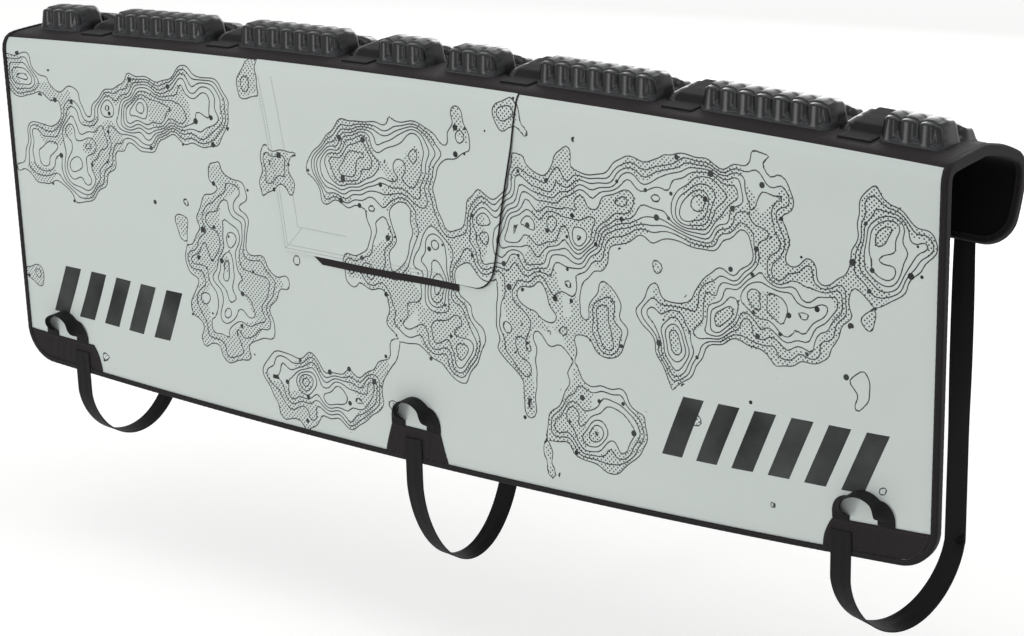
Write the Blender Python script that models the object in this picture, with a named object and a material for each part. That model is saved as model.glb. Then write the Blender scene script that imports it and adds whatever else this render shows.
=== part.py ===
"""Tailgate bike pad: a padded cover that hangs over a pickup's tailgate and carries six bikes.

The pad is drawn as its maker cuts it. A flat pattern has two coordinates, x along the pad and s
along its section, from the hem of the front panel up over the fold, back across the top and down
the rear flap. place() folds the pattern into metres, +Z up, +Y towards the tailgate's rear side.
The origin is where the top panel's underside sits on the tailgate, at the middle of the pad.
"""

import math

import bmesh
import bpy
import numpy as np

# Size of the pad
PAD_LENGTH = 1.600
FRONT_DROP = 0.523
CROWN = 0.0200
HEM_SAG = 0.0236
HEM_CORNER_RADIUS = 0.050
FLAP_CORNER_RADIUS = 0.040

# Section of the pad, outer face: fold, top panel in four runs, rear bend and rear flap
FOLD_RADIUS = 0.018
LEAD_LENGTH = 0.025
LEAD_SLOPE = 2.0
SEAT_LENGTH = 0.070
MIDDLE_LENGTH = 0.056
MIDDLE_SLOPE = -14.0
REAR_LENGTH = 0.043
REAR_SLOPE = -22.0
BEND_RADIUS = 0.034
BEND_END_ANGLE = -100.0
FLAP_RADIUS = 0.150
FLAP_END_ANGLE = -118.0
FLAP_TAIL = 0.047

# Layers
COVER_THICKNESS = 0.0010
FOAM_THICKNESS = 0.0088
LINING_THICKNESS = 0.0016
CLEARANCE = 0.0003
TAPE_THICKNESS = 0.0012
BINDING_FACE = 0.0090

# Handle window and its flap
WINDOW_LEFT = -0.190
WINDOW_RIGHT = 0.070
WINDOW_LOW = 0.300
WINDOW_HEIGHT = 0.170
WINDOW_FLAP_THICKNESS = 0.0024
WINDOW_FLAP_LOW = 0.262
WINDOW_FLAP_TOP_LEFT = -0.285
WINDOW_FLAP_TOP_RIGHT = 0.172
WINDOW_FLAP_LOW_LEFT = -0.245
WINDOW_FLAP_LOW_RIGHT = 0.125
WINDOW_FLAP_CORNER = 0.026
CLOSURE_TAPE_HEIGHT = 0.010

# Moulded foam blocks
RIDGE_PITCH = 0.0255
END_RIDGE = 0.0305
SMALL_RIDGES = 3
LARGE_RIDGES = 7
FRAME_GAP = 0.0665
CENTRE_GAP = 0.0345
FRONT_BLOCK_START = 0.0025
FRONT_BLOCK_DEPTH = 0.064
FRONT_BLOCK_HEIGHT = 0.033
BACK_BLOCK_DEPTH = 0.050
BACK_BLOCK_HEIGHT = 0.0185
RIDGE_AMPLITUDE = 0.0045
FLANGE_HEIGHT = 0.0035
SIDE_LEAN = 0.006
SHOULDER_SHARE = 0.16
SADDLE_REACH = 0.046
SADDLE_NOSE = 0.011
SADDLE_NOSE_HEIGHT = 0.0075
SADDLE_FOLD_HEIGHT = 0.0105
SADDLE_HEIGHT = 0.0190

# Frame straps
FRAME_STRAP_WIDTH = 0.046
FRAME_STRAP_THICKNESS = 0.0022
FRAME_STRAP_OFFSET = 0.009
FRAME_STRAP_TOE = 0.080
FRAME_STRAP_TAIL = 0.015

# Where the side sets of loops, straps and buckles lie, from the pad's ends
LEFT_LOOP_INSET = 0.090
RIGHT_LOOP_INSET = 0.102
LEFT_STRAP_INSET = 0.120
RIGHT_STRAP_INSET = 0.133
LEFT_BUCKLE_INSET = 0.132
RIGHT_BUCKLE_INSET = 0.065

# Webbing that holds the pad to the tailgate
TAILGATE_WEBBING = 0.030
WEBBING_THICKNESS = 0.0016
WEBBING_TAB = 0.024
WEBBING_DROP = 0.030
BUCKLE_BASE = 0.0042
BUCKLE_THICKNESS = 0.0040
BUCKLE_RAIL = 0.0045
BUCKLE_BAR = 0.0040
BUCKLE_SLOT = 0.0090
BUCKLE_RISE = 0.013
BUCKLE_TAB = 0.022
WEBBING_TAIL = 0.012

# Grab loops and hem patches
LOOP_WEBBING = 0.025
LOOP_FOOT_SPACING = 0.064
LOOP_RISE = 0.043
LOOP_FOOT = 0.006
PATCH_HEIGHT = 0.048
CORNER_PATCH_LENGTH = 0.160
MIDDLE_PATCH_LOW = 0.112
MIDDLE_PATCH_HIGH = 0.088
MIDDLE_PATCH_CENTRE = -0.018
CORNER_PATCH_SLANT = 0.014

# Carry tab at the rear edge of the top panel
CARRY_TAB_CENTRE = 0.030
CARRY_TAB_WIDTH = 0.058
CARRY_TAB_DEPTH = 0.026
CARRY_TAB_THICKNESS = 0.0070

# How finely curves are cut into facets
CORNER_STEPS = 5
FOLD_STEPS = 5
SEAM_STEP = 3
BEND_STEPS = 5
FLAP_STEPS = 2
SIDE_COLUMNS = 3
SWING_STEPS = 12
RISE_STEPS = 5

HALF_LENGTH = PAD_LENGTH / 2
RIM = CLEARANCE + TAPE_THICKNESS
SHEET_HALF = HALF_LENGTH - RIM
SKIN_BASE = CLEARANCE
PAD_THICKNESS = COVER_THICKNESS + FOAM_THICKNESS + LINING_THICKNESS + 2 * CLEARANCE

COLOURS = {
    "tarpaulin": ((0.60, 0.64, 0.62), 0.45, 0.0),
    "black_textile": ((0.018, 0.018, 0.019), 0.85, 0.0),
    "black_webbing": ((0.012, 0.012, 0.013), 0.80, 0.0),
    "fleece": ((0.020, 0.020, 0.021), 1.00, 0.0),
    "core_foam": ((0.25, 0.25, 0.26), 0.95, 0.0),
    "moulded_foam": ((0.055, 0.057, 0.060), 0.42, 0.0),
    "black_plastic": ((0.015, 0.015, 0.016), 0.40, 0.0),
}


def clear_scene():
    """Remove the objects of the open scene."""
    for scene_object in list(bpy.data.objects):
        bpy.data.objects.remove(scene_object, do_unlink=True)


def material_of(finish):
    """One Principled material for each finish."""
    material = bpy.data.materials.get(finish)
    if material is None:
        colour, roughness, metallic = COLOURS[finish]
        material = bpy.data.materials.new(finish)
        material.use_nodes = True
        shader = material.node_tree.nodes["Principled BSDF"]
        shader.inputs["Base Color"].default_value = (*colour, 1.0)
        shader.inputs["Roughness"].default_value = roughness
        shader.inputs["Metallic"].default_value = metallic
        material.diffuse_color = (*colour, 1.0)
    return material


class Section:
    """The outer face of the folded pad, walked from the hem by heading and length."""

    def __init__(self):
        self.rows = []
        self.y, self.z, self.s = 0.0, 0.0, 0.0
        self.mark(90.0)
        self.run(FRONT_DROP - FOLD_RADIUS, 90.0)
        self.fold_start = self.s
        self.turn(FOLD_RADIUS, 90.0, LEAD_SLOPE, FOLD_STEPS)
        self.fold_end = self.s
        self.run(LEAD_LENGTH, LEAD_SLOPE)
        self.crease(LEAD_SLOPE, 0.0)
        self.seat_start = self.s
        self.run(SEAT_LENGTH, 0.0)
        self.crease(0.0, MIDDLE_SLOPE)
        self.middle_start = self.s
        self.run(MIDDLE_LENGTH, MIDDLE_SLOPE)
        self.crease(MIDDLE_SLOPE, REAR_SLOPE)
        self.rear_start = self.s
        self.run(REAR_LENGTH, REAR_SLOPE)
        self.bend_start = self.s
        self.turn(BEND_RADIUS, REAR_SLOPE, BEND_END_ANGLE, BEND_STEPS)
        self.flap_start = self.s
        self.turn(FLAP_RADIUS, BEND_END_ANGLE, FLAP_END_ANGLE, FLAP_STEPS)
        self.run(FLAP_TAIL, FLAP_END_ANGLE)
        self.end = self.s
        self.freeze()

    def mark(self, heading, stretch=1.0):
        """Note a row: place, normal (left of the heading) and the stretch of the normal."""
        angle = math.radians(heading)
        normal = (-math.sin(angle) * stretch, math.cos(angle) * stretch)
        row = (self.s, self.y, self.z, *normal)
        if self.rows and self.rows[-1][0] == self.s:
            self.rows[-1] = row
        else:
            self.rows.append(row)

    def run(self, length, heading):
        """Go straight on."""
        angle = math.radians(heading)
        self.y += length * math.cos(angle)
        self.z += length * math.sin(angle)
        self.s += length
        self.mark(heading)

    def crease(self, before, after):
        """Mitre the normal at a soft crease between two straight runs."""
        half_turn = math.radians(before - after) / 2
        self.mark((before + after) / 2, 1 / math.cos(half_turn))

    def turn(self, radius, start, stop, steps):
        """Go round a convex arc, with the rows on the arc."""
        centre_y = self.y + radius * math.sin(math.radians(start))
        centre_z = self.z - radius * math.cos(math.radians(start))
        step_length = radius * math.radians(start - stop) / steps
        for step in range(1, steps + 1):
            heading = start + (stop - start) * step / steps
            self.y = centre_y - radius * math.sin(math.radians(heading))
            self.z = centre_z + radius * math.cos(math.radians(heading))
            self.s += step_length
            self.mark(heading)

    def freeze(self):
        """Extend both ends straight, for tape that wraps them, and move the origin to the seat."""
        table = np.array(self.rows)
        reach = 0.05
        first, last = table[0].copy(), table[-1].copy()
        first[0] -= reach
        first[2] -= reach
        angle = math.radians(FLAP_END_ANGLE)
        last[0] += reach
        last[1] += reach * math.cos(angle)
        last[2] += reach * math.sin(angle)
        table = np.vstack([first, table, last])
        seat_y = np.interp(self.seat_start + SEAT_LENGTH / 2, table[:, 0], table[:, 1])
        seat_z = np.interp(self.seat_start, table[:, 0], table[:, 2])
        table[:, 1] -= seat_y
        table[:, 2] -= seat_z - PAD_THICKNESS
        self.table = table

    def stations(self, low, high):
        """Rows of the section strictly between two lengths."""
        lengths = self.table[:, 0]
        return [float(s) for s in lengths if low + 1e-6 < s < high - 1e-6]


SECTION = Section()
SEAM = SECTION.fold_start + (SECTION.fold_end - SECTION.fold_start) * SEAM_STEP / FOLD_STEPS


def column_places():
    """Columns of the flat pattern: even ones out to the ends, and both sides of the window."""
    inner = sorted({abs(WINDOW_LEFT), abs(WINDOW_RIGHT)})
    outer = np.linspace(inner[-1], SHEET_HALF, SIDE_COLUMNS + 1)[1:]
    positive = np.array([*inner, *outer])
    return np.concatenate([-positive[::-1], positive])


COLUMNS = column_places()
BOW = 1 - (COLUMNS / HALF_LENGTH) ** 2


def place(x, s, out):
    """Fold the flat pattern: x along the pad, s along the section, out above the outer face."""
    x, s, out = np.broadcast_arrays(*[np.asarray(value, float) for value in (x, s, out)])
    table = SECTION.table
    y = np.interp(s, table[:, 0], table[:, 1]) + out * np.interp(s, table[:, 0], table[:, 3])
    z = np.interp(s, table[:, 0], table[:, 2]) + out * np.interp(s, table[:, 0], table[:, 4])
    rise = np.interp(s, [0.0, SECTION.fold_start], [-HEM_SAG, CROWN])
    z = z + rise * np.interp(x, COLUMNS, BOW) - CROWN * np.interp(0.0, COLUMNS, BOW)
    return np.stack([x, y, z], axis=-1)


def make_node(name, points, faces, finish, smooth_angle=None):
    """One closed solid with outward faces, as an object of its own."""
    work = bmesh.new()
    corners = [work.verts.new(point) for point in np.asarray(points).reshape(-1, 3)]
    for face in faces:
        work.faces.new([corners[index] for index in face])
    loose = [corner for corner in work.verts if not corner.link_faces]
    bmesh.ops.delete(work, geom=loose, context="VERTS")
    bmesh.ops.recalc_face_normals(work, faces=work.faces)
    if work.calc_volume(signed=True) < 0:
        bmesh.ops.reverse_faces(work, faces=work.faces)
    mesh = bpy.data.meshes.new(name)
    work.to_mesh(mesh)
    work.free()
    mesh.materials.append(material_of(finish))
    if smooth_angle is not None:
        mesh.shade_smooth()
        mesh.set_sharp_from_angle(angle=math.radians(smooth_angle))
    node = bpy.data.objects.new(name, mesh)
    bpy.context.scene.collection.objects.link(node)
    return node


def shell_faces(rows, columns, keep=None):
    """Faces of a plate given as two grids of rows by columns, with walls round what is kept."""
    if keep is None:
        keep = np.ones((rows - 1, columns - 1), bool)
    back = rows * columns
    faces = []
    for row in range(rows - 1):
        for column in range(columns - 1):
            if not keep[row, column]:
                continue
            a = row * columns + column
            b, c, d = a + 1, a + columns + 1, a + columns
            faces.append((a, b, c, d))
            faces.append((back + d, back + c, back + b, back + a))
            sides = (((row - 1, column), a, b), ((row, column + 1), b, c),
                     ((row + 1, column), c, d), ((row, column - 1), d, a))
            for (next_row, next_column), first, second in sides:
                inside = 0 <= next_row < rows - 1 and 0 <= next_column < columns - 1
                if not inside or not keep[next_row, next_column]:
                    faces.append((second, first, back + first, back + second))
    return faces


def half_width(s, inset=0.0):
    """Half the sheet's width at a length s, inside its rounded corners, less an inset."""
    half = SHEET_HALF
    for edge, radius in ((s, HEM_CORNER_RADIUS), (SECTION.end - s, FLAP_CORNER_RADIUS)):
        if edge < radius:
            reach = math.sqrt(max((radius - inset) ** 2 - (radius - edge) ** 2, 0.0))
            return half - radius + reach
    return half - inset


def corner_rows(radius):
    """Distances from an edge at which a rounded corner has its points."""
    return [radius * (1 - math.cos(math.pi / 2 * k / CORNER_STEPS)) for k in range(CORNER_STEPS + 1)]


HEM_ROWS = corner_rows(HEM_CORNER_RADIUS)
WINDOW_HIGH = WINDOW_LOW + WINDOW_HEIGHT
SHEET_ROWS = sorted({
    *HEM_ROWS, WINDOW_LOW, WINDOW_HIGH,
    *SECTION.stations(HEM_CORNER_RADIUS, SECTION.end - FLAP_CORNER_RADIUS),
    *[SECTION.end - row for row in corner_rows(FLAP_CORNER_RADIUS)],
})


def make_sheet(name, rows, top, bottom, finish, windowed=True):
    """A layer of the pad between two heights, over the given rows of the pattern."""
    rows = np.array(rows)
    x = np.repeat(COLUMNS[None, :], len(rows), axis=0)
    x[:, -1] = [half_width(s) for s in rows]
    x[:, 0] = -x[:, -1]
    s = np.repeat(rows[:, None], len(COLUMNS), axis=1)
    points = np.concatenate([place(x, s, top), place(x, s, bottom)])
    keep = np.ones((len(rows) - 1, len(COLUMNS) - 1), bool)
    if windowed:
        middle_s = (rows[1:] + rows[:-1]) / 2
        middle_x = (COLUMNS[1:] + COLUMNS[:-1]) / 2
        in_rows = (middle_s > WINDOW_LOW) & (middle_s < WINDOW_HIGH)
        in_columns = (middle_x > WINDOW_LEFT) & (middle_x < WINDOW_RIGHT)
        keep = ~(in_rows[:, None] & in_columns[None, :])
    return make_node(name, points, shell_faces(len(rows), len(COLUMNS), keep), finish, 30)


def make_padding():
    """Front panel, top cover, two foam sheets under them and the lining inside."""
    seam_gap = CLEARANCE / 2
    front_rows = [row for row in SHEET_ROWS if row < SEAM - CLEARANCE] + [SEAM - seam_gap]
    top_rows = [SEAM + seam_gap] + [row for row in SHEET_ROWS if row > SEAM + CLEARANCE]
    foam_top = -COVER_THICKNESS - CLEARANCE
    foam_bottom = foam_top - FOAM_THICKNESS
    lining_top = foam_bottom - CLEARANCE
    make_sheet("front_panel", front_rows, 0.0, -COVER_THICKNESS, "tarpaulin")
    make_sheet("top_cover", top_rows, 0.0, -COVER_THICKNESS, "black_textile")
    make_sheet("foam_front", front_rows, foam_top, foam_bottom, "core_foam")
    make_sheet("foam_top", top_rows, foam_top, foam_bottom, "core_foam")
    make_sheet("fleece_lining", SHEET_ROWS, lining_top, -PAD_THICKNESS, "fleece")


def sheet_outline():
    """The sheet's edge, hem first and right side next: x, s and the inward direction."""
    right = []
    for s in SHEET_ROWS:
        edge, radius = s, HEM_CORNER_RADIUS
        sign = 1
        if SECTION.end - s < s:
            edge, radius, sign = SECTION.end - s, FLAP_CORNER_RADIUS, -1
        if edge < radius:
            angle = math.acos(1 - edge / radius)
            inward = (-math.sin(angle), sign * math.cos(angle))
        else:
            inward = (-1.0, 0.0)
        right.append((half_width(s), s, *inward))
    hem = [(x, 0.0, 0.0, 1.0) for x in COLUMNS[1:-1]]
    rear = [(x, SECTION.end, 0.0, -1.0) for x in COLUMNS[-2:0:-1]]
    left = [(-x, s, -dx, ds) for x, s, dx, ds in reversed(right)]
    return np.array(hem + right + rear + left)


def make_binding():
    """Edge tape folded round all the layers, as one closed ring of a U section."""
    outline = sheet_outline()
    low, high = -PAD_THICKNESS - CLEARANCE, CLEARANCE
    edge, leg = -CLEARANCE, BINDING_FACE - RIM
    tape = TAPE_THICKNESS
    profile = np.array([
        (leg, high), (edge, high), (edge, low), (leg, low),
        (leg, low - tape), (edge - tape, low - tape), (edge - tape, high + tape), (leg, high + tape),
    ])
    x = outline[:, None, 0] + outline[:, None, 2] * profile[None, :, 0]
    s = outline[:, None, 1] + outline[:, None, 3] * profile[None, :, 0]
    out = np.repeat(profile[None, :, 1], len(outline), axis=0)
    make_node("edge_binding", place(x, s, out), ring_faces(len(outline), len(profile)),
              "black_textile", 40)


def ring_faces(rings, sides):
    """Faces of a closed ring of profiles."""
    faces = []
    for ring in range(rings):
        following = (ring + 1) % rings
        for side in range(sides):
            after = (side + 1) % sides
            faces.append((ring * sides + side, ring * sides + after,
                          following * sides + after, following * sides + side))
    return faces


def loft_faces(rings, sides):
    """Faces of a chain of profiles with both ends closed."""
    faces = [tuple(range(sides)), tuple((rings - 1) * sides + k for k in reversed(range(sides)))]
    for ring in range(rings - 1):
        for side in range(sides):
            after = (side + 1) % sides
            faces.append((ring * sides + after, ring * sides + side,
                          (ring + 1) * sides + side, (ring + 1) * sides + after))
    return faces


def block_centres():
    """Middles of the blocks from left to right, with the number of ridges of each."""
    small, large = block_width(SMALL_RIDGES), block_width(LARGE_RIDGES)
    right = []
    x = CENTRE_GAP / 2
    for ridges, width in ((SMALL_RIDGES, small), (LARGE_RIDGES, large),
                          (LARGE_RIDGES, large), (SMALL_RIDGES, small)):
        right.append((x + width / 2, ridges))
        x += width + FRAME_GAP
    return [(-x, ridges) for x, ridges in reversed(right)] + right


def block_width(ridges):
    """Length of a block along the pad: even ridges between two narrower end ridges."""
    return 2 * END_RIDGE + (ridges - 2) * RIDGE_PITCH


def ridge_columns(ridges, inner_points):
    """Columns over a block, left to right: x, kind of column and how far up the ridge's arch."""
    width = block_width(ridges)
    valleys = [-width / 2 + END_RIDGE + RIDGE_PITCH * k for k in range(ridges - 1)]
    edges = [-width / 2 + SIDE_LEAN, *valleys, width / 2 - SIDE_LEAN]
    columns = [(-width / 2, "rim", 0.0), (-width / 2 + FLANGE_HEIGHT / 2, "flange", 0.0)]
    for index, (start, stop) in enumerate(zip(edges, edges[1:])):
        low = SHOULDER_SHARE if index == 0 else 0.0
        high = 1 - SHOULDER_SHARE if index == len(edges) - 2 else 1.0
        for step in range(0 if index == 0 else 1, inner_points + 2):
            along = step / (inner_points + 1)
            share = low + (high - low) * along
            columns.append((start + (stop - start) * along, "body", 4 * share * (1 - share)))
    columns += [(width / 2 - FLANGE_HEIGHT / 2, "flange", 0.0), (width / 2, "rim", 0.0)]
    return columns


def block_profile(depth, height):
    """Side view of a block, front foot to rear foot: y, z and whether the ridges reach it."""
    return np.array([
        (0.0, 0.0, 0.0),
        (0.05 * depth, FLANGE_HEIGHT, 0.0),
        (0.08 * depth, 0.60 * height, 1.0),
        (0.20 * depth, 0.92 * height, 1.0),
        (0.56 * depth, height, 1.0),
        (0.92 * depth, 0.88 * height, 1.0),
        (depth, 0.0, 0.0),
    ])


def low_block_profile(depth, height):
    """Side view of the lower rear row."""
    return np.array([
        (0.0, 0.0, 0.0),
        (0.10 * depth, 0.70 * height, 1.0),
        (0.34 * depth, height, 1.0),
        (0.72 * depth, 0.96 * height, 1.0),
        (depth, 0.0, 0.0),
    ])


def saddle_profile():
    """Side view of a saddle: a low nose in the frame gap, then a ramp over the fold to the rear."""
    depth = SADDLE_REACH + BACK_BLOCK_DEPTH
    return np.array([
        (0.0, 0.0, 0.0),
        (SADDLE_NOSE, SADDLE_NOSE_HEIGHT, 1.0),
        (SADDLE_REACH - CLEARANCE, SADDLE_FOLD_HEIGHT, 1.0),
        (SADDLE_REACH + 0.58 * BACK_BLOCK_DEPTH, SADDLE_HEIGHT, 1.0),
        (SADDLE_REACH + 0.78 * BACK_BLOCK_DEPTH, 0.88 * SADDLE_HEIGHT, 1.0),
        (depth, 0.0, 0.0),
    ])


def outward_normals(profile):
    """Unit normals of an open profile that runs front to rear over the top."""
    step = np.gradient(profile[:, :2], axis=0)
    normal = np.stack([-step[:, 1], step[:, 0]], axis=1)
    return normal / np.linalg.norm(normal, axis=1, keepdims=True)


def make_block(name, centre, columns, profile, start, bends=()):
    """A moulded block: its side view carried across the columns and arched at each ridge.

    The base is flat between the feet. Where the pad folds under the block, bends names the rows
    of the side view at the folds, and the base gets a row of its own there.
    """
    normals = outward_normals(profile)
    grid = np.zeros((len(profile), len(columns), 3))
    for j, (x, kind, arch) in enumerate(columns):
        inset = RIDGE_AMPLITUDE * (1 - arch) if kind == "body" else 0.0
        depth_y, height_z = (profile[:, :2] - normals * profile[:, 2:] * inset).T
        if kind == "flange":
            height_z = np.minimum(height_z, FLANGE_HEIGHT)
        elif kind == "rim":
            height_z = np.zeros(len(profile))
        grid[:, j] = np.stack([np.full(len(profile), x + centre), start + depth_y,
                               SKIN_BASE + height_z], axis=1)
    rows, count = grid.shape[:2]
    faces = []
    for i in range(rows - 1):
        for j in range(count - 1):
            a = i * count + j
            faces.append((a, a + 1, a + count + 1, a + count))
    stops = [0, *bends, rows - 1]
    base = [[row * count + j for j in range(count)] for row in (0, rows - 1)]
    flat = []
    for row in bends:
        first = rows * count + len(flat)
        flat += [(x + centre, start + profile[row, 0], SKIN_BASE) for x, _, _ in columns[1:-1]]
        base.insert(-1, [row * count, *range(first, first + count - 2), row * count + count - 1])
    for (low, high), (near, far) in zip(zip(stops, stops[1:]), zip(base, base[1:])):
        faces.append((*[i * count for i in range(low, high + 1)], far[1], near[1]))
        faces.append((*[i * count + count - 1 for i in range(low, high + 1)], far[-2], near[-2]))
        for j in range(1, count - 2):
            faces.append((near[j], near[j + 1], far[j + 1], far[j]))
    points = np.concatenate([grid.reshape(-1, 3), np.array(flat).reshape(-1, 3)])
    return make_node(name, place(*points.T), faces, "moulded_foam", 35)


def make_blocks():
    """Front row of eight blocks, and the lower rear row with a saddle behind each frame gap."""
    front_start = SECTION.seat_start + FRONT_BLOCK_START
    rear_start = SECTION.middle_start + CLEARANCE
    front_profile = block_profile(FRONT_BLOCK_DEPTH, FRONT_BLOCK_HEIGHT)
    rear_profile = low_block_profile(BACK_BLOCK_DEPTH, BACK_BLOCK_HEIGHT)
    for number, (centre, ridges) in enumerate(block_centres(), start=1):
        make_block(f"front_block_{number}", centre, ridge_columns(ridges, 2), front_profile, front_start)
        make_block(f"rear_block_{number}", centre, ridge_columns(ridges, 1), rear_profile, rear_start)
    for number, centre in enumerate(gap_centres(), start=1):
        make_saddle(f"frame_saddle_{number}", centre, rear_start - SADDLE_REACH)


def gap_centres():
    """Middles of the six frame gaps, left to right."""
    blocks = block_centres()
    pairs = zip(blocks, blocks[1:])
    gaps = []
    for (left, left_ridges), (right, right_ridges) in pairs:
        start = left + block_width(left_ridges) / 2
        stop = right - block_width(right_ridges) / 2
        if stop - start > (FRAME_GAP + CENTRE_GAP) / 2:
            gaps.append((start + stop) / 2)
    return gaps


SADDLE_LENGTH = FRAME_GAP - 4 * CLEARANCE


def make_saddle(name, centre, start):
    """The bridge in a frame gap, from between the front blocks to behind the rear ones."""
    half = SADDLE_LENGTH / 2
    groove = 0.5
    places = [(-half, "rim", 0.0), (-half + FLANGE_HEIGHT / 2, "flange", 0.0),
              (-half + SIDE_LEAN, "body", 0.6), (-half + 2 * SIDE_LEAN, "body", 1.0),
              (-half * groove, "body", 0.6)]
    columns = places + [(-x, kind, arch) for x, kind, arch in reversed(places)]
    columns.insert(len(places), (0.0, "body", 1.0))
    profile = saddle_profile()
    fold_row = int(np.argmin(np.abs(profile[:, 0] - SADDLE_REACH)))
    make_block(name, centre, columns, profile, start, (fold_row,))


def offset_path(points, distance):
    """A path of (s, out) points moved to its left by a distance, with mitred corners."""
    points = np.asarray(points, float)
    step = np.diff(points, axis=0)
    normal = np.stack([-step[:, 1], step[:, 0]], axis=1)
    normal /= np.linalg.norm(normal, axis=1, keepdims=True)
    before = np.vstack([normal[:1], normal])
    after = np.vstack([normal, normal[-1:]])
    middle = before + after
    middle /= np.linalg.norm(middle, axis=1, keepdims=True)
    stretch = 1 / np.clip(np.sum(middle * after, axis=1), 0.5, 1.0)
    return points + middle * distance * stretch[:, None]


def make_band(name, x_left, x_right, path, thickness, finish):
    """A flat band across the pattern: a path in (s, out) given a thickness and a width in x."""
    lower = offset_path(path, -thickness / 2)
    upper = offset_path(path, thickness / 2)
    outline = np.concatenate([lower, upper[::-1]])
    x = np.array([x_left, x_right])[:, None] + 0 * outline[None, :, 0]
    points = place(x, outline[None, :, 0], outline[None, :, 1])
    return make_node(name, points, loft_faces(2, len(outline)), finish, 50)


def make_frame_straps():
    """Hook-and-loop frame straps: from the rear, over the saddle and down into the gap."""
    fold = SECTION.middle_start + CLEARANCE
    start = fold - SADDLE_REACH
    rise = CLEARANCE + FRAME_STRAP_THICKNESS / 2
    over = offset_path(saddle_profile()[:, :2] + [start, SKIN_BASE], rise)
    floor = SKIN_BASE + FRAME_STRAP_THICKNESS / 2
    toe = fold - FRAME_STRAP_TOE
    ankle = start - FRAME_STRAP_THICKNESS - CLEARANCE
    heel = fold + BACK_BLOCK_DEPTH + FRAME_STRAP_THICKNESS + CLEARANCE
    tail = heel + FRAME_STRAP_TAIL
    path = [(toe, floor), *[(s, floor) for s in SECTION.stations(toe, ankle)], (ankle, floor),
            *map(tuple, over[1:-1]), (heel, floor),
            *[(s, floor) for s in SECTION.stations(heel, tail)], (tail, floor)]
    for number, centre in enumerate(gap_centres(), start=1):
        middle = centre + FRAME_STRAP_OFFSET
        make_band(f"frame_strap_{number}", middle - FRAME_STRAP_WIDTH / 2, middle + FRAME_STRAP_WIDTH / 2,
                  path, FRAME_STRAP_THICKNESS, "black_webbing")


def make_window_flap():
    """The flap over the handle window, sewn in at the fold and free at the right and below."""
    low, corner = WINDOW_FLAP_LOW, WINDOW_FLAP_CORNER
    corner_places = [low + corner * (1 - math.cos(math.pi / 2 * k / CORNER_STEPS))
                     for k in range(CORNER_STEPS + 1)]
    rows = corner_places + [row for row in SHEET_ROWS if low + corner < row < SEAM - CLEARANCE
                            and row not in (WINDOW_LOW, WINDOW_HIGH)]
    rows = np.array([*rows, SEAM - CLEARANCE])
    rise = np.clip((rows - low) / (SECTION.fold_start - low), 0, 1)
    left = WINDOW_FLAP_LOW_LEFT + (WINDOW_FLAP_TOP_LEFT - WINDOW_FLAP_LOW_LEFT) * rise
    right = WINDOW_FLAP_LOW_RIGHT + (WINDOW_FLAP_TOP_RIGHT - WINDOW_FLAP_LOW_RIGHT) * rise
    short = np.clip(corner - (rows - low), 0, corner)
    right -= corner - np.sqrt(corner ** 2 - short ** 2)
    inner = [x for x in COLUMNS if WINDOW_FLAP_LOW_LEFT < x < WINDOW_FLAP_LOW_RIGHT - corner]
    x = np.column_stack([left, *[np.full(len(rows), value) for value in inner], right])
    s = np.repeat(rows[:, None], x.shape[1], axis=1)
    top = SKIN_BASE + WINDOW_FLAP_THICKNESS
    points = np.concatenate([place(x, s, top), place(x, s, SKIN_BASE)])
    make_node("window_flap", points, shell_faces(*x.shape), "tarpaulin", 30)
    make_closure_tape()


def make_closure_tape():
    """Black closure tape on the front panel, along the flap's lower edge."""
    high = WINDOW_FLAP_LOW - CLEARANCE
    point = CLOSURE_TAPE_HEIGHT
    rows = np.array([high - CLOSURE_TAPE_HEIGHT, high])
    x = np.array([[WINDOW_LEFT + point, -WINDOW_RIGHT, WINDOW_RIGHT],
                  [WINDOW_LEFT, -WINDOW_RIGHT, WINDOW_RIGHT]])
    s = np.repeat(rows[:, None], 3, axis=1)
    points = np.concatenate([place(x, s, SKIN_BASE + TAPE_THICKNESS), place(x, s, SKIN_BASE)])
    make_node("closure_tape", points, shell_faces(2, 3), "black_webbing")


PATCH_TOP = SKIN_BASE + TAPE_THICKNESS


def make_patch(name, rows, left, right):
    """A reinforcement patch on the front panel, between two sides given for each row."""
    x = np.stack([left, (left + right) / 2, right], axis=1)
    s = np.repeat(np.asarray(rows)[:, None], 3, axis=1)
    points = np.concatenate([place(x, s, PATCH_TOP), place(x, s, SKIN_BASE)])
    make_node(name, points, shell_faces(*x.shape), "black_textile")


def make_patches():
    """Two corner patches and one in the middle, inside the edge tape."""
    start = BINDING_FACE - RIM + CLEARANCE
    angle = np.linspace(0, math.pi / 2, CORNER_STEPS + 1)
    arc = HEM_CORNER_RADIUS - start
    arc_rows = HEM_CORNER_RADIUS - arc * np.cos(angle)
    arc_x = SHEET_HALF - HEM_CORNER_RADIUS + arc * np.sin(angle)
    rows = np.array([*[row for row in arc_rows if row < PATCH_HEIGHT - 0.002], PATCH_HEIGHT])
    rise = (rows - start) / (PATCH_HEIGHT - start)
    outer = np.interp(rows, arc_rows, arc_x)
    inner = HALF_LENGTH - CORNER_PATCH_LENGTH + CORNER_PATCH_SLANT * rise ** 2
    make_patch("hem_patch_left", rows, -outer, -inner)
    make_patch("hem_patch_right", rows, inner, outer)
    rows = np.array([start, PATCH_HEIGHT])
    half = np.array([MIDDLE_PATCH_LOW, MIDDLE_PATCH_HIGH]) / 2
    make_patch("hem_patch_middle", rows, MIDDLE_PATCH_CENTRE - half, MIDDLE_PATCH_CENTRE + half)


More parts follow.
